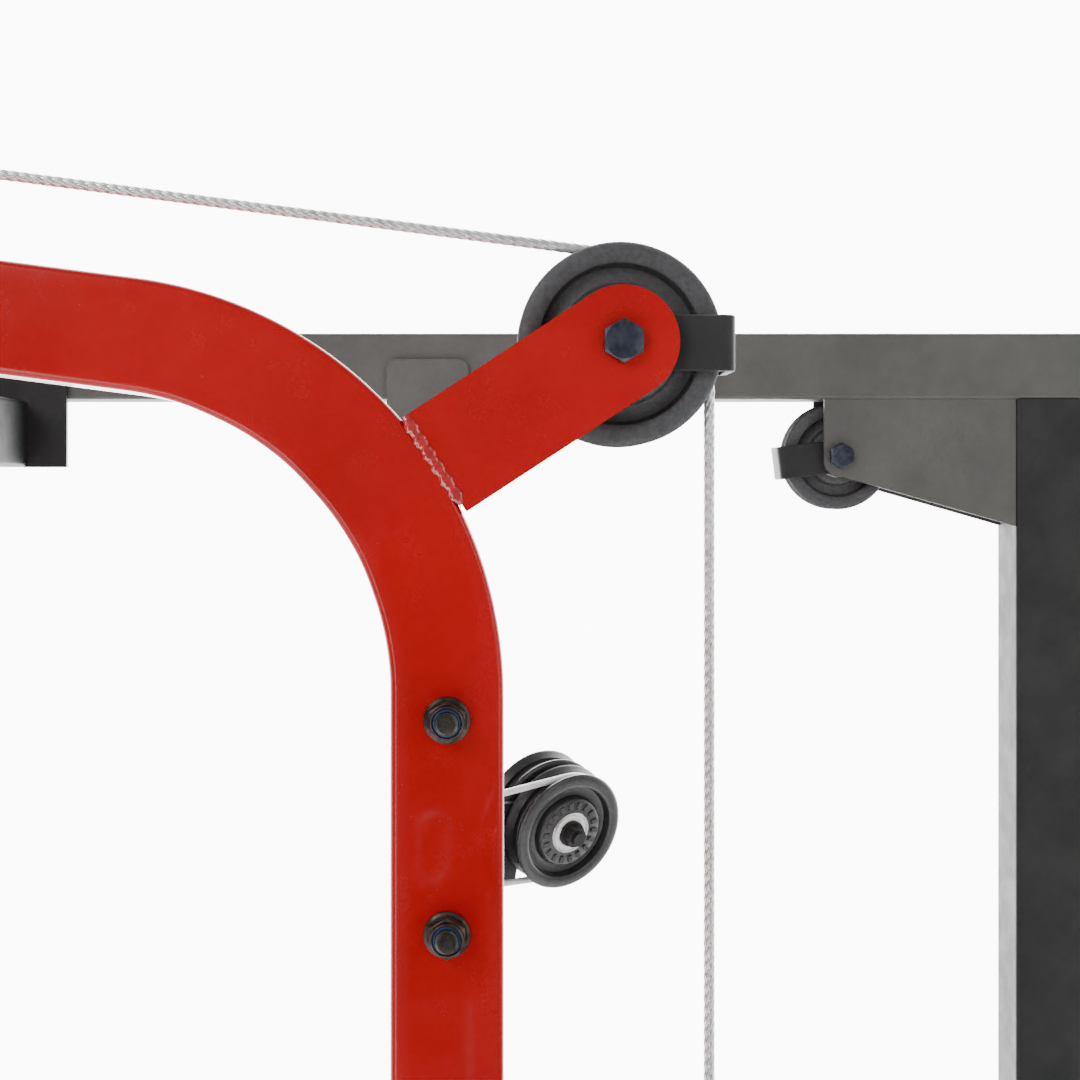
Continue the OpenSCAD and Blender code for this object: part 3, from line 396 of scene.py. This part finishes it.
def bead(b, p, q, out, across, w=6.0, h=1.5, step=2.6, mat=BLACK):
    """Weld bead from p to q: overlapping scales, with an uneven edge and tapered ends."""
    p, q, out, across = Vector(p), Vector(q), Vector(out), Vector(across)
    length = (q - p).length
    t = (q - p).normalized()
    n, cols, rings = max(12, int(length / 0.7)), 12, []
    for i in range(n + 1):
        s = length * i / n
        wob = 1 + 0.16 * math.sin(s * 0.9 + p.x * 0.3 + p.z) + 0.08 * math.sin(s * 2.3 + p.y)
        end = min(1.0, (min(s, length - s) + 0.3) / 3.0) ** 0.5
        row = []
        for j in range(cols + 1):
            a = math.pi * j / cols
            x = -math.cos(a)
            lag = s - 1.6 * (1 - x * x)
            scale = 0.72 + 0.28 * (1 - ((lag / step) % 1.0)) ** 0.7
            rise = math.sin(a) * h * scale * end - 0.15
            row.append(p + t * s + across * (x * w / 2 * wob * end) + out * rise)
        rings.append(row)
    v, f = grid(rings, False)
    b.add(v, f, mat)


# ---- Frame nodes kept as modelled, with broken edges ----

def finish_node(name, mat, width=0.7, smooth=35):
    """Gives a node its material, and breaks its edges by width."""
    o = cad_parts[name]
    o.data.materials.clear()
    o.data.materials.append(mat)
    o.data.shade_smooth()
    o.data.set_sharp_from_angle(angle=math.radians(smooth))
    if width:
        b = o.modifiers.new("edge", "BEVEL")
        b.width = width * MM
        b.segments = 2
        b.limit_method = "ANGLE"
        b.angle_limit = math.radians(50)
        b.harden_normals = True
    return o


for n in ("base_rails", "base_crossmembers", "front_uprights", "mid_uprights", "rear_columns",
          "arm_crossmember", "rear_crossmember", "tower_crossmembers", "pull_up_bar", "accessory_rack",
          "rod_bracket", "rod_base", "swivel_mounts", "safety_bars", "swivel_left", "swivel_right"):
    finish_node(n, BLACK)
for n in ("top_rails", "splice_plates", "gussets"):
    finish_node(n, GREY)
for n in ("pulley_bracket", "arm_bracket", "carriage_frame", "j_hooks"):
    finish_node(n, RED, 0.9)
for n in ("guide_rods", "plate_horns", "plate_pegs", "lat_bar"):
    finish_node(n, CHROME, 0.8)
for n in ("rubber_feet", "buffers", "tube_caps", "lat_grips"):
    finish_node(n, RUBBER, 1.2)
finish_node("carriage_bushes", WHITE, 0.5)
finish_node("pulley_bushes", STEEL, 0.4)
finish_node("pulley_spacers", ZINC, 0.4)
finish_node("cable_eye", STEEL, 0.0)


# ---- Tower with its formed bend ----

def section_outline(half, r, n=6, side=8):
    """Rounded square outline of (x, y), with points spread along each side."""
    out = []
    for k, (sx, sy, a0) in enumerate(((1, 1, 0), (-1, 1, 90), (-1, -1, 180), (1, -1, 270))):
        for i in range(n + 1):
            a = math.radians(a0 + 90 * i / n)
            out.append((sx * (half - r) + r * math.cos(a), sy * (half - r) + r * math.sin(a)))
        e = out[-1]
        nx, ny = ((-1, 0), (0, -1), (1, 0), (0, 1))[k]
        for i in range(1, side):
            out.append((e[0] + nx * 2 * (half - r) * i / side, e[1] + ny * 2 * (half - r) * i / side))
    return out


def formed(x, y, s):
    """The section's point at a share s of the bend: buckled inside, drawn flat outside."""
    hold = math.sin(math.pi * s) ** 0.7
    inner = max(0.0, min(1.0, (-y + 4) / 26))
    wave = math.sin(s * TAU * 3.4 + 0.5) * 0.75 + math.sin(s * TAU * 7.1 + x * 0.03) * 0.25
    side = max(0.0, 1 - abs(abs(x) - HALF) / 1.5) * math.sin(math.pi * (y + HALF) / (2 * HALF))
    dx = (1.1 * side * inner * wave - 0.5 * side * (1 - inner)) * hold * (1 if x > 0 else -1)
    mid = math.cos(math.pi * x / (2 * HALF))
    sag = 0.9 * (1 - inner) * mid * (1 if y > 20 else 0)
    return x + dx, y + (1.0 * inner ** 3 * wave * mid - sag) * hold


def tower():
    """Tower tube swept up, round its bend and along its arm, with its foot plate and welds."""
    corner, straight_n, bend_n, arm_n = 3.2, 25, 96, 12
    weld_z, weld_gap = PLATE_TOP + 1.4, HALF + 0.3
    b = Build()
    base = section_outline(HALF, corner)
    side, centre = Vector((1, 0, 0)), Vector((0, *BEND_C))
    path, share = [], []
    for i in range(straight_n):
        z = PLATE_TOP + (BEND_C[1] - PLATE_TOP) * i / straight_n
        path.append((Vector((0, TOWER_Y, z)), side, Vector((0, 1, 0))))
        share.append(None)
    for i in range(bend_n + 1):
        a = BEND_A * i / bend_n
        d = Vector((0, math.cos(a), math.sin(a)))
        path.append((centre + d * BEND_R, side, d))
        share.append(i / bend_n)
    up, ahead = Vector((0, *ARM_UP)), Vector((0, *ARM_DIR))
    for i in range(1, arm_n + 1):
        path.append((centre + up * BEND_R + ahead * ARM_LEN * i / arm_n, side, up))
        share.append(None)

    def outline(i):
        return base if share[i] is None else [formed(x, y, share[i]) for x, y in base]
    b.add(*sweep(path, outline), RED)
    b.add(*box((-65, TOWER_Y - HALF, BASE_TOP), (65, TOWER_Y + HALF, PLATE_TOP), 1.2), RED)
    for s in (-1, 1):
        x = s * weld_gap
        bead(b, (x, TOWER_Y - 22, weld_z), (x, TOWER_Y + 22, weld_z), (s * 0.7, 0, 0.7), (0.7, 0, -0.7 * s),
             6, 1.6, mat=WELD)
    for s in (-1, 1):
        y = TOWER_Y + s * weld_gap
        bead(b, (-22, y, weld_z), (22, y, weld_z), (0, s * 0.4, 0.4), (0, 0.7, -0.7 * s), 5, 1.2, mat=WELD)
    return b.done("tower_shape", "frame", ("tower",), "red_paint", 40)


tower()


# ---- Welds ----

def bracket_welds():
    """Beads where the rear pulley bracket stands on the bend."""
    b = Build()
    c, s = math.cos(AXLE_LEAN), math.sin(AXLE_LEAN)
    out, along = Vector((0, c, s)), Vector((0, -s, c))
    foot = Vector((0, *BEND_C)) + out * (BEND_R + HALF + 0.2)
    for s in (-1, 1):
        face = foot + Vector((s * HALF, 0, 0))
        bead(b, face - along * 21, face + along * 25, (s, 0, 0), out, 5.6, 1.3, 3.0, WELD)
    return b.done("bracket_welds", "frame", ("weld_beads",), "red_paint", 60)


bracket_welds()


def frame_welds():
    """Beads where the crossmembers meet their end plates."""
    b = Build()

    def four(x, s, y, z):
        run = HALF - 4
        for t in (-1, 1):
            bead(b, (x, y - run, z + t * HALF), (x, y + run, z + t * HALF),
                 (-s * 0.6, 0, t * 0.6), (0.7 * s, 0, 0.7 * t), 5, 1.3)
            bead(b, (x, y + t * HALF, z - run), (x, y + t * HALF, z + run),
                 (-s * 0.6, t * 0.6, 0), (0.7 * s, 0.7 * t, 0), 5, 1.3)
    for s in (-1, 1):
        x = s * (IN_X - 5)
        four(x, s, TOWER_Y, BASE_Z)
        four(x, s, REAR_Y, BASE_Z)
        four(x, s, REAR_Y, REAR_CROSS_Z)
        four(x, s, TOWER_Y, CROSS_Z)
        four(s * (HALF + 5), -s, TOWER_Y, CROSS_Z)
    b.done("frame_welds", "frame", (), "black_paint", 60)


frame_welds()


# ---- Hardware ----

def bolt_head(b, place):
    b.add(*hex_solid(ACROSS, HEAD_H), ZINC, place)


def washered_head(b, place):
    """Bolt head on its washer."""
    b.add(*ring(BORE_R, 10, 0, WASHER_T, 0.35, 40), ZINC, place)
    bolt_head(b, place @ Matrix.Translation((0, 0, WASHER_T)))


def lock_nut(b, pos, s, tail=4.0):
    """Nut with a nylon ring and the bolt's end standing out of it."""
    m = along_x(pos, s)
    b.add(*hex_solid(ACROSS, 6.8, 0.96, 0.2, bore=6.2), ZINC, m)
    b.add(*lathe([(7.6, 6.5), (7.6, 8.0), (7.1, 8.8), (6.4, 9.0), (6.1, 8.7), (6.1, 6.4)], 36), ZINC, m)
    b.add(*ring(5.05, 6.15, 6.8, 8.55, 0.2, 36), BLUE, m)
    b.add(*thread(SHANK_R, 0, 9 + tail), ZINC, m)


def frame_hardware():
    """Bolts of the side frames and crossmembers: head outside, nut inside."""
    heads, nuts = Build(), Build()
    spots = []
    for b in SPLICE_BOLTS:
        spots += [(IN_X, IN_X + 54, y, BASE_TOP + b) for y in (FRONT_Y, MID_Y, REAR_Y)]
        spots += [(IN_X - 4, IN_X + 54, y, RAIL_Z - b) for y in (FRONT_Y, MID_Y)]
    for t in (-1, 1):
        spots += [(IN_X - 5, IN_X + 50, y + t * FLANGE_BOLT, BASE_Z) for y in (TOWER_Y, REAR_Y)]
        spots += [(IN_X - 5, IN_X + 50, y + t * FLANGE_BOLT, RAIL_Z + HALF) for y in (ARM_CROSS_Y, PULL_UP_Y)]
        spots.append((IN_X - 4, IN_X + 50, MID_Y, PIVOT_Z + t * MOUNT_BOLT))
        spots.append((IN_X - 5, IN_X + 50, MID_Y, CROSS_Z + t * TALL_BOLT))
        spots.append((IN_X - 5, IN_X + 50, REAR_Y, REAR_CROSS_Z + t * TALL_BOLT))
    for inner, outer, y, z in spots:
        for s in (-1, 1):
            washered_head(heads, along_x((s * outer, y, z), s))
            lock_nut(nuts, (s * inner, y, z), -s)
    for t in (-1, 1):
        z = CROSS_Z + t * TALL_BOLT
        washered_head(heads, along_x((HALF + 5, TOWER_Y, z), 1))
        lock_nut(nuts, (-HALF - 5, TOWER_Y, z), -1)
        washered_head(heads, Matrix.Translation((t * 50, TOWER_Y, PLATE_TOP)))
    for p in (REAR, FRONT):
        lock_nut(nuts, (-HALF, *p), -1)
    for s in (-1, 1):
        lock_nut(nuts, (s * (HALF_W + SIDE_HALF), *SIDE), s)
        for z in PEG_HEIGHTS:
            lock_nut(nuts, (s * IN_X, REAR_Y, z), -s, 3.0)
    heads.done("frame_bolt_heads", "frame", ("frame_bolts",), "dark_zinc")
    nuts.done("frame_lock_nuts", "frame", ("lock_nuts",), "dark_zinc")


frame_hardware()


def pulley_hardware():
    """Bolts that the fixed wheels turn on."""
    b = Build()
    axles = [((0, *p), 1, HALF) for p in (REAR, FRONT)]
    axles += [((s * HALF_W, *SIDE), -s, SIDE_HALF) for s in (-1, 1)]
    for at, s, half in axles:
        bolt_head(b, along_x(Vector(at) + Vector((s * half, 0, 0)), s))
        b.add(*ring(0.01, 5, -half, half, 0.01, 24), ZINC, along_x(at, 1))
    b.done("pulley_bolt_heads", "frame", ("pulley_bolts",), "dark_zinc")


pulley_hardware()


def tower_hardware():
    """The accessory rack's two bolts, with flange nuts on the tower's near face."""
    heads, nuts = Build(), Build()
    for z in (BOLT_Z, BOLT_Z - BOLT_GAP):
        washered_head(heads, along_x((-29, TOWER_Y, z), -1))
        m = along_x((HALF, TOWER_Y, z), 1)
        flange = [(5.1, 0.0), (10.2, 0.0), (10.4, 0.5), (10.2, 1.2), (9.0, 2.0), (5.1, 2.0)]
        crown = [(7.5, 8.4), (7.5, 10.4), (7.2, 11.4), (6.6, 11.8), (6.2, 11.5), (6.2, 8.0)]
        nuts.add(*lathe(flange, 48), BRONZE, m)
        nuts.add(*hex_solid(16, 7.2, 0.97, 0.2, bore=6.4), BRONZE, m @ Matrix.Translation((0, 0, 1.6)))
        nuts.add(*lathe(crown, 40), BRONZE, m)
        nuts.add(*ring(5.05, 6.3, 8.0, 11.1, 0.25, 40), BLUE, m)
        nuts.add(*thread(SHANK_R, 0, 16.5), BRONZE, m)
    heads.done("tower_bolt_heads", "frame", ("tower_bolts",), "dark_zinc")
    nuts.done("tower_flange_nuts", "frame", ("tower_nuts",), "dark_zinc")


tower_hardware()


# ---- Cable straps: bent from flat strip ----

def strap(b, x, p, a, reach, legs=14, t=3.0, w=25.0):
    """U of flat strip round a wheel: two legs with round ends, bent to a closed outer end."""
    r_out, e, steps, round_n = 5.0, 0.5, 6, 9
    mid, c, r = legs + t / 2, reach - r_out, r_out - t / 2
    line = [(-mid, -12), (-mid, 0)]
    line += [(-mid, c * i / 4) for i in range(1, 5)]
    turns = [math.pi / 2 * i / steps for i in range(1, steps + 1)]
    line += [(-mid + r * (1 - math.cos(q)), c + r * math.sin(q)) for q in turns]
    line += [(-u, v) for u, v in line[::-1]]
    h, k = t / 2, w / 2
    section = ((-h, -k + e), (-h, k - e), (-h + e, k), (h - e, k), (h, k - e), (h, -k + e), (h - e, -k), (-h + e, -k))
    rings = []
    for i, (u, v) in enumerate(line):
        n = Vector(line[min(i + 1, len(line) - 1)]) - Vector(line[max(i - 1, 0)])
        n.normalize()
        rings.append([Vector((u + n[1] * o, v - n[0] * o, z)) for o, z in section])
    ends = [math.pi / 2 * i / round_n for i in range(1, round_n)]

    def rounded(row, q):
        return [Vector((pt.x, -k * math.sin(q), pt.z * math.cos(q))) for pt in row]
    lead = [rounded(rings[1], q) for q in ends[::-1]]
    tail = [rounded(rings[-2], q) for q in ends]
    place = Matrix.Translation((x, *p)) @ Matrix.Rotation(a, 4, "X")
    b.add(*grid(lead + rings[1:-1] + tail, True, True), BLACK, place)


def straps():
    b = Build()
    strap(b, 0, REAR, 0, 51)
    strap(b, 0, FRONT, math.radians(140), 51)
    for s in (-1, 1):
        strap(b, s * HALF_W, SIDE, math.radians(187), 46)
    b.done("bent_straps", "frame", ("cable_straps",), "black_paint")


straps()


# ---- Pulleys ----

def pulley_profile(r, half=11):
    """Half section of a wheel: hub, recess, rim, groove for the cable, and the same back again."""
    root, g = r - 5, CABLE_R + 0.5
    prof = [(8.05, -half + 0.6), (8.6, -half), (r - 21, -half), (r - 20, -half + 0.5), (r - 19.2, -half + 1.6),
            (r - 18.2, -4.7), (r - 17.2, -4.2), (r - 12.2, -4.2), (r - 11.2, -4.7), (r - 10.4, -half + 3.2),
            (r - 9.6, -half + 1.0), (r - 8.4, -half + 0.3), (r - 6, -half), (r - 2.6, -half + 0.2),
            (r - 0.9, -half + 0.9), (r - 0.1, -half + 2.0), (r - 0.2, -half + 3.0), (r - 0.9, -half + 3.8)]
    prof += [(root + g * 0.5, -g * 0.94)]
    prof += [(root - g * math.sin(a), -g * math.cos(a)) for a in [math.pi * i / 10 for i in range(1, 6)]]
    return prof + [(x, -z) for x, z in prof[::-1][1:]] + [prof[0]]


def pulley(name, node, body, place, r=WHEEL_R, mat=NYLON, teeth=False):
    """Wheel with its bearings; teeth adds the ribs on its faces."""
    b, teeth_n = Build(), 18
    b.add(*lathe(pulley_profile(r), 96), mat, place)
    for s in (-1, 1):
        m = place @ (Matrix.Rotation(math.pi, 4, "X") if s < 0 else Matrix.Identity(4))
        b.add(*ring(8.2, 10.2, 10.6, 11.35, 0.2, 48), STEEL, m)
        b.add(*ring(10.3, 14.0, 10.7, 11.2, 0.15, 48), WHITE if teeth else RUBBER, m)
        b.add(*ring(14.1, 16.2, 10.6, 11.35, 0.2, 48), STEEL, m)
        for i in range(teeth_n if teeth else 0):
            t = m @ Matrix.Rotation(TAU * i / teeth_n, 4, "Z")
            b.add(*box((19.0, -1.9, 10.8), (24.6, 1.9, 12.0), 0.5), mat, t)
    return b.done(name, body, (node,), "black_nylon", 38)


X_AXIS = Matrix.Rotation(math.pi / 2, 4, "Y")
pulley("rear_pulley", "sheave_rear", "rear_wheel", Matrix.Translation((0, *REAR)) @ X_AXIS)
pulley("front_pulley", "sheave_front", "front_wheel", Matrix.Translation((0, *FRONT)) @ X_AXIS)
for s, side in ((-1, "left"), (1, "right")):
    pulley("side_pulley_" + side, "sheave_side_" + side, "side_wheel_" + side,
           Matrix.Translation((s * HALF_W, *SIDE)) @ X_AXIS, SIDE_WHEEL_R)


# ---- Swivel pulleys and their cables ----

SWIVEL = Matrix.Translation((*PIVOT, 0)) @ Matrix.Rotation(SWIVEL_TURN, 4, "Z")
AXLE = (SWIVEL @ Matrix.Translation((REACH, 0, SWIVEL_Z)) @ Matrix.Rotation(SWIVEL_TILT, 4, "X")
        @ Matrix.Rotation(-math.pi / 2, 4, "X"))
MIRROR = Matrix.Scale(-1, 4, (1, 0, 0))


def link_mesh(b, place, r_wire, w=11.5, h=15.0, n=16):
    """Snap link: an oval of round wire with a sprung gate, in local X and Y."""
    pts = arc((0, h), w, 0, math.pi, 16, lambda u, v: Vector((u, v, 0)))
    pts += arc((0, -h), w, math.pi, TAU, 16, lambda u, v: Vector((u, v, 0)))
    pts.append(pts[0])
    rings = []
    for i, p in enumerate(pts):
        before, after = pts[(i - 1) % (len(pts) - 1)], pts[(i + 1) % (len(pts) - 1)]
        u = Vector((0, 0, 1)).cross((after - before).normalized())
        turns = [TAU * j / n for j in range(n)]
        rings.append([p + u * (r_wire * math.cos(a)) + Vector((0, 0, r_wire * math.sin(a))) for a in turns])
    b.add(*grid(rings), STEEL, place)
    m = place @ Matrix.Translation((w, 0, 0)) @ Matrix.Rotation(math.pi / 2, 4, "X")
    gate = [(0.01, -11), (r_wire + 0.4, -11), (r_wire + 0.6, -10), (r_wire + 0.6, 7), (r_wire + 0.2, 8), (0.01, 8)]
    b.add(*lathe(gate, 24), STEEL, m)
    for z in (-8, 5):
        b.add(*ring(r_wire + 0.3, r_wire + 0.9, z, z + 1.4, 0.3, 24), ZINC, m)


def swivel_side(side, flip):
    """Two wheels, the cable that ends over the inner one with its stop and link, and the axle's ends."""
    over, handle_run, link_at = math.radians(8), 70, 39.3
    base = flip @ AXLE
    arm = "swivel_arm_" + side
    for name, off in (("inner", -WHEEL_OFF), ("outer", WHEEL_OFF)):
        pulley(f"{name}_swivel_wheel_{side}", f"sheave_{side}_{name}", f"{name}_wheel_{side}",
               base @ Matrix.Translation((0, 0, off)), WHEEL_R, WHEEL, True)
    b = Build()
    wheel = base @ Matrix.Translation((0, 0, -WHEEL_OFF))
    path = [Vector((-60, PITCH, 0))]
    path += arc((0, 0), PITCH, math.pi / 2, -math.pi / 2 - over, 40, lambda u, v: Vector((u, v, 0)))
    d = Vector((-math.cos(over), math.sin(over), 0))
    path.append(path[-1] + d * handle_run)
    b.add(*tube_path(even(path, 4), CABLE_R, 24), SLEEVE, wheel)
    end = path[-1]
    m = (wheel @ Matrix.Translation(end) @ Matrix.Rotation(-over, 4, "Z")
         @ Matrix.Rotation(-math.pi / 2, 4, "Y"))
    prof = [(2.6, 0.3), (6.0, 0.2), (6.9, 0.6)]
    turns = [math.radians(x) for x in range(-58, 59, 8)]
    prof += [(13.9 * math.cos(a), 12.3 + 13.2 * math.sin(a)) for a in turns]
    prof += [(6.9, 24.0), (6.0, 24.2), (0.01, 24.2)]
    b.add(*lathe(prof, 56), RUBBER, m)
    b.add(*ring(13.2, 14.0, 12.0, 12.5, 0.1, 56), STEEL, m)
    hang = (wheel @ Matrix.Translation(end + d * link_at + Vector((0, 17.5, 0)))
            @ Matrix.Rotation(-over, 4, "Z"))
    link_mesh(b, hang, 3.0, 11.8)
    b.done("handle_cable_shape_" + side, arm, ("handle_cable_" + side,), "steel_cable")
    h = Build()
    for t in (-1, 1):
        z = base @ (Matrix.Rotation(math.pi, 4, "X") if t < 0 else Matrix.Identity(4))
        z = z @ Matrix.Translation((0, 0, WHEEL_OFF + 12.6))
        h.add(*hex_solid(14, 5.2, 0.96, 0.2, bore=5.4), ZINC, z)
        h.add(*thread(4.6, 0, 8.4), STEEL, z)
    h.done("swivel_axle_ends_" + side, arm, (), "dark_zinc")


swivel_side("left", Matrix.Identity(4))
swivel_side("right", MIRROR)


# ---- Cables ----

def cables():
    """Centre cable in three runs, its two upright ones fixed in place and not attached to what they pull, and the
    side runs.
    """
    upright = (("rear_cable", "cable_rear", "carriage", ROD_Y, 420, REAR[1]),
               ("front_cable", "cable_front", "pull_bar", LAT_Y, 1964, FRONT[1]))
    for name, node, body, y, low, high in upright:
        b = Build()
        b.add(*rope([(0, y, low), (0, y, high)]), WIRE)
        o = b.done(name, None, (), "steel_cable")
        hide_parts(node)
        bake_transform(o)
    b = Build()
    top = arc(REAR, PITCH, 0, BEND_A, 24, lambda u, v: (0, u, v))
    top += arc(FRONT, PITCH, BEND_A, math.pi, 28, lambda u, v: (0, u, v))
    b.add(*rope(top), WIRE)
    b.done("top_cable", "frame", ("cable_top",), "steel_cable")
    b = Build()
    for s in (-1, 1):
        x = s * -PIVOT[0]
        b.add(*rope([(x, PIVOT[1], 10), (x, PIVOT[1], 1597)], step=2.6), WIRE)
    b.done("side_cable_runs", "frame", ("side_cables",), "steel_cable")


cables()


def lat_link():
    """Snap link over the lat bar, and the crimped sleeve on the cable's end."""
    b = Build()
    place = Matrix.Translation((0, LAT_Y, LAT_Z + 64))
    link_mesh(b, place @ Matrix.Rotation(math.pi / 2, 4, "X"), 3.9, 11.4)
    sleeve = [(0.01, 27), (4.6, 27), (5.8, 28), (5.8, 34), (5.0, 35), (5.8, 36), (5.8, 44), (5.0, 45), (5.8, 46),
              (5.8, 58), (4.6, 60), (0.01, 60)]
    b.add(*lathe(sleeve, 32), STEEL, place)
    b.done("lat_link", "pull_bar", ("snap_link",), "bare_steel")


lat_link()


# ---- Studio ----

PALE = make("floor_pale", (0.82 * 0.97,) * 3, (0.82,) * 3, (0.55, 0.6), spec=0.3, grain=40, grain_h=0.0001,
            patch=1.5, rough_scale=4)
FLOOR_X, FLOOR_Y, FLOOR_Z = 3.4, 3.6, -0.001
floor_me = bpy.data.meshes.new("floor")
floor_me.from_pydata([(x * FLOOR_X, y * FLOOR_Y, FLOOR_Z) for x, y in ((-1, -1), (1, -1), (1, 1), (-1, 1))],
                     [], [(0, 1, 2, 3)])
floor_me.materials.append(PALE)
floor = bpy.data.objects.new("floor", floor_me)
bpy.context.scene.collection.objects.link(floor)


def area(name, loc, target, size, power):
    d = bpy.data.lights.new(name, "AREA")
    d.shape = "RECTANGLE"
    d.size, d.size_y = size
    d.energy = power
    o = bpy.data.objects.new(name, d)
    o.location = loc
    o.rotation_euler = (Vector(target) - Vector(loc)).to_track_quat("-Z", "Y").to_euler()
    bpy.context.scene.collection.objects.link(o)
    return o


lights = [area("key", (2.6, -1.5, 3.4), (0, 0.2, 1.7), (1.4, 1.4), 70),
          area("fill", (2.2, 2.4, 2.2), (0, 0.2, 1.6), (1.6, 2.0), 30),
          area("rim", (-2.6, 0.6, 3.2), (0, 0.2, 1.8), (2.0, 2.0), 30),
          area("card", (1.5, -0.55, 1.35), (0, 0.1, 1.95), (0.35, 0.9), 7)]

# The world is white, and brighter behind the cage than behind the camera.
world = bpy.data.worlds.new("world")
bpy.context.scene.world = world
world.use_nodes = True
links, nodes = world.node_tree.links, world.node_tree.nodes
coords = nodes.new("ShaderNodeTexCoord")
split = nodes.new("ShaderNodeSeparateXYZ")
glow = nodes.new("ShaderNodeMapRange")
for socket, value in (("From Min", -0.75), ("From Max", 0.1), ("To Min", 11.0), ("To Max", 0.5)):
    glow.inputs[socket].default_value = value
back = nodes["Background"]
back.inputs["Color"].default_value = (1, 1, 1, 1)
links.new(coords.outputs["Generated"], split.inputs["Vector"])
links.new(split.outputs["X"], glow.inputs["Value"])
links.new(glow.outputs["Result"], back.inputs["Strength"])
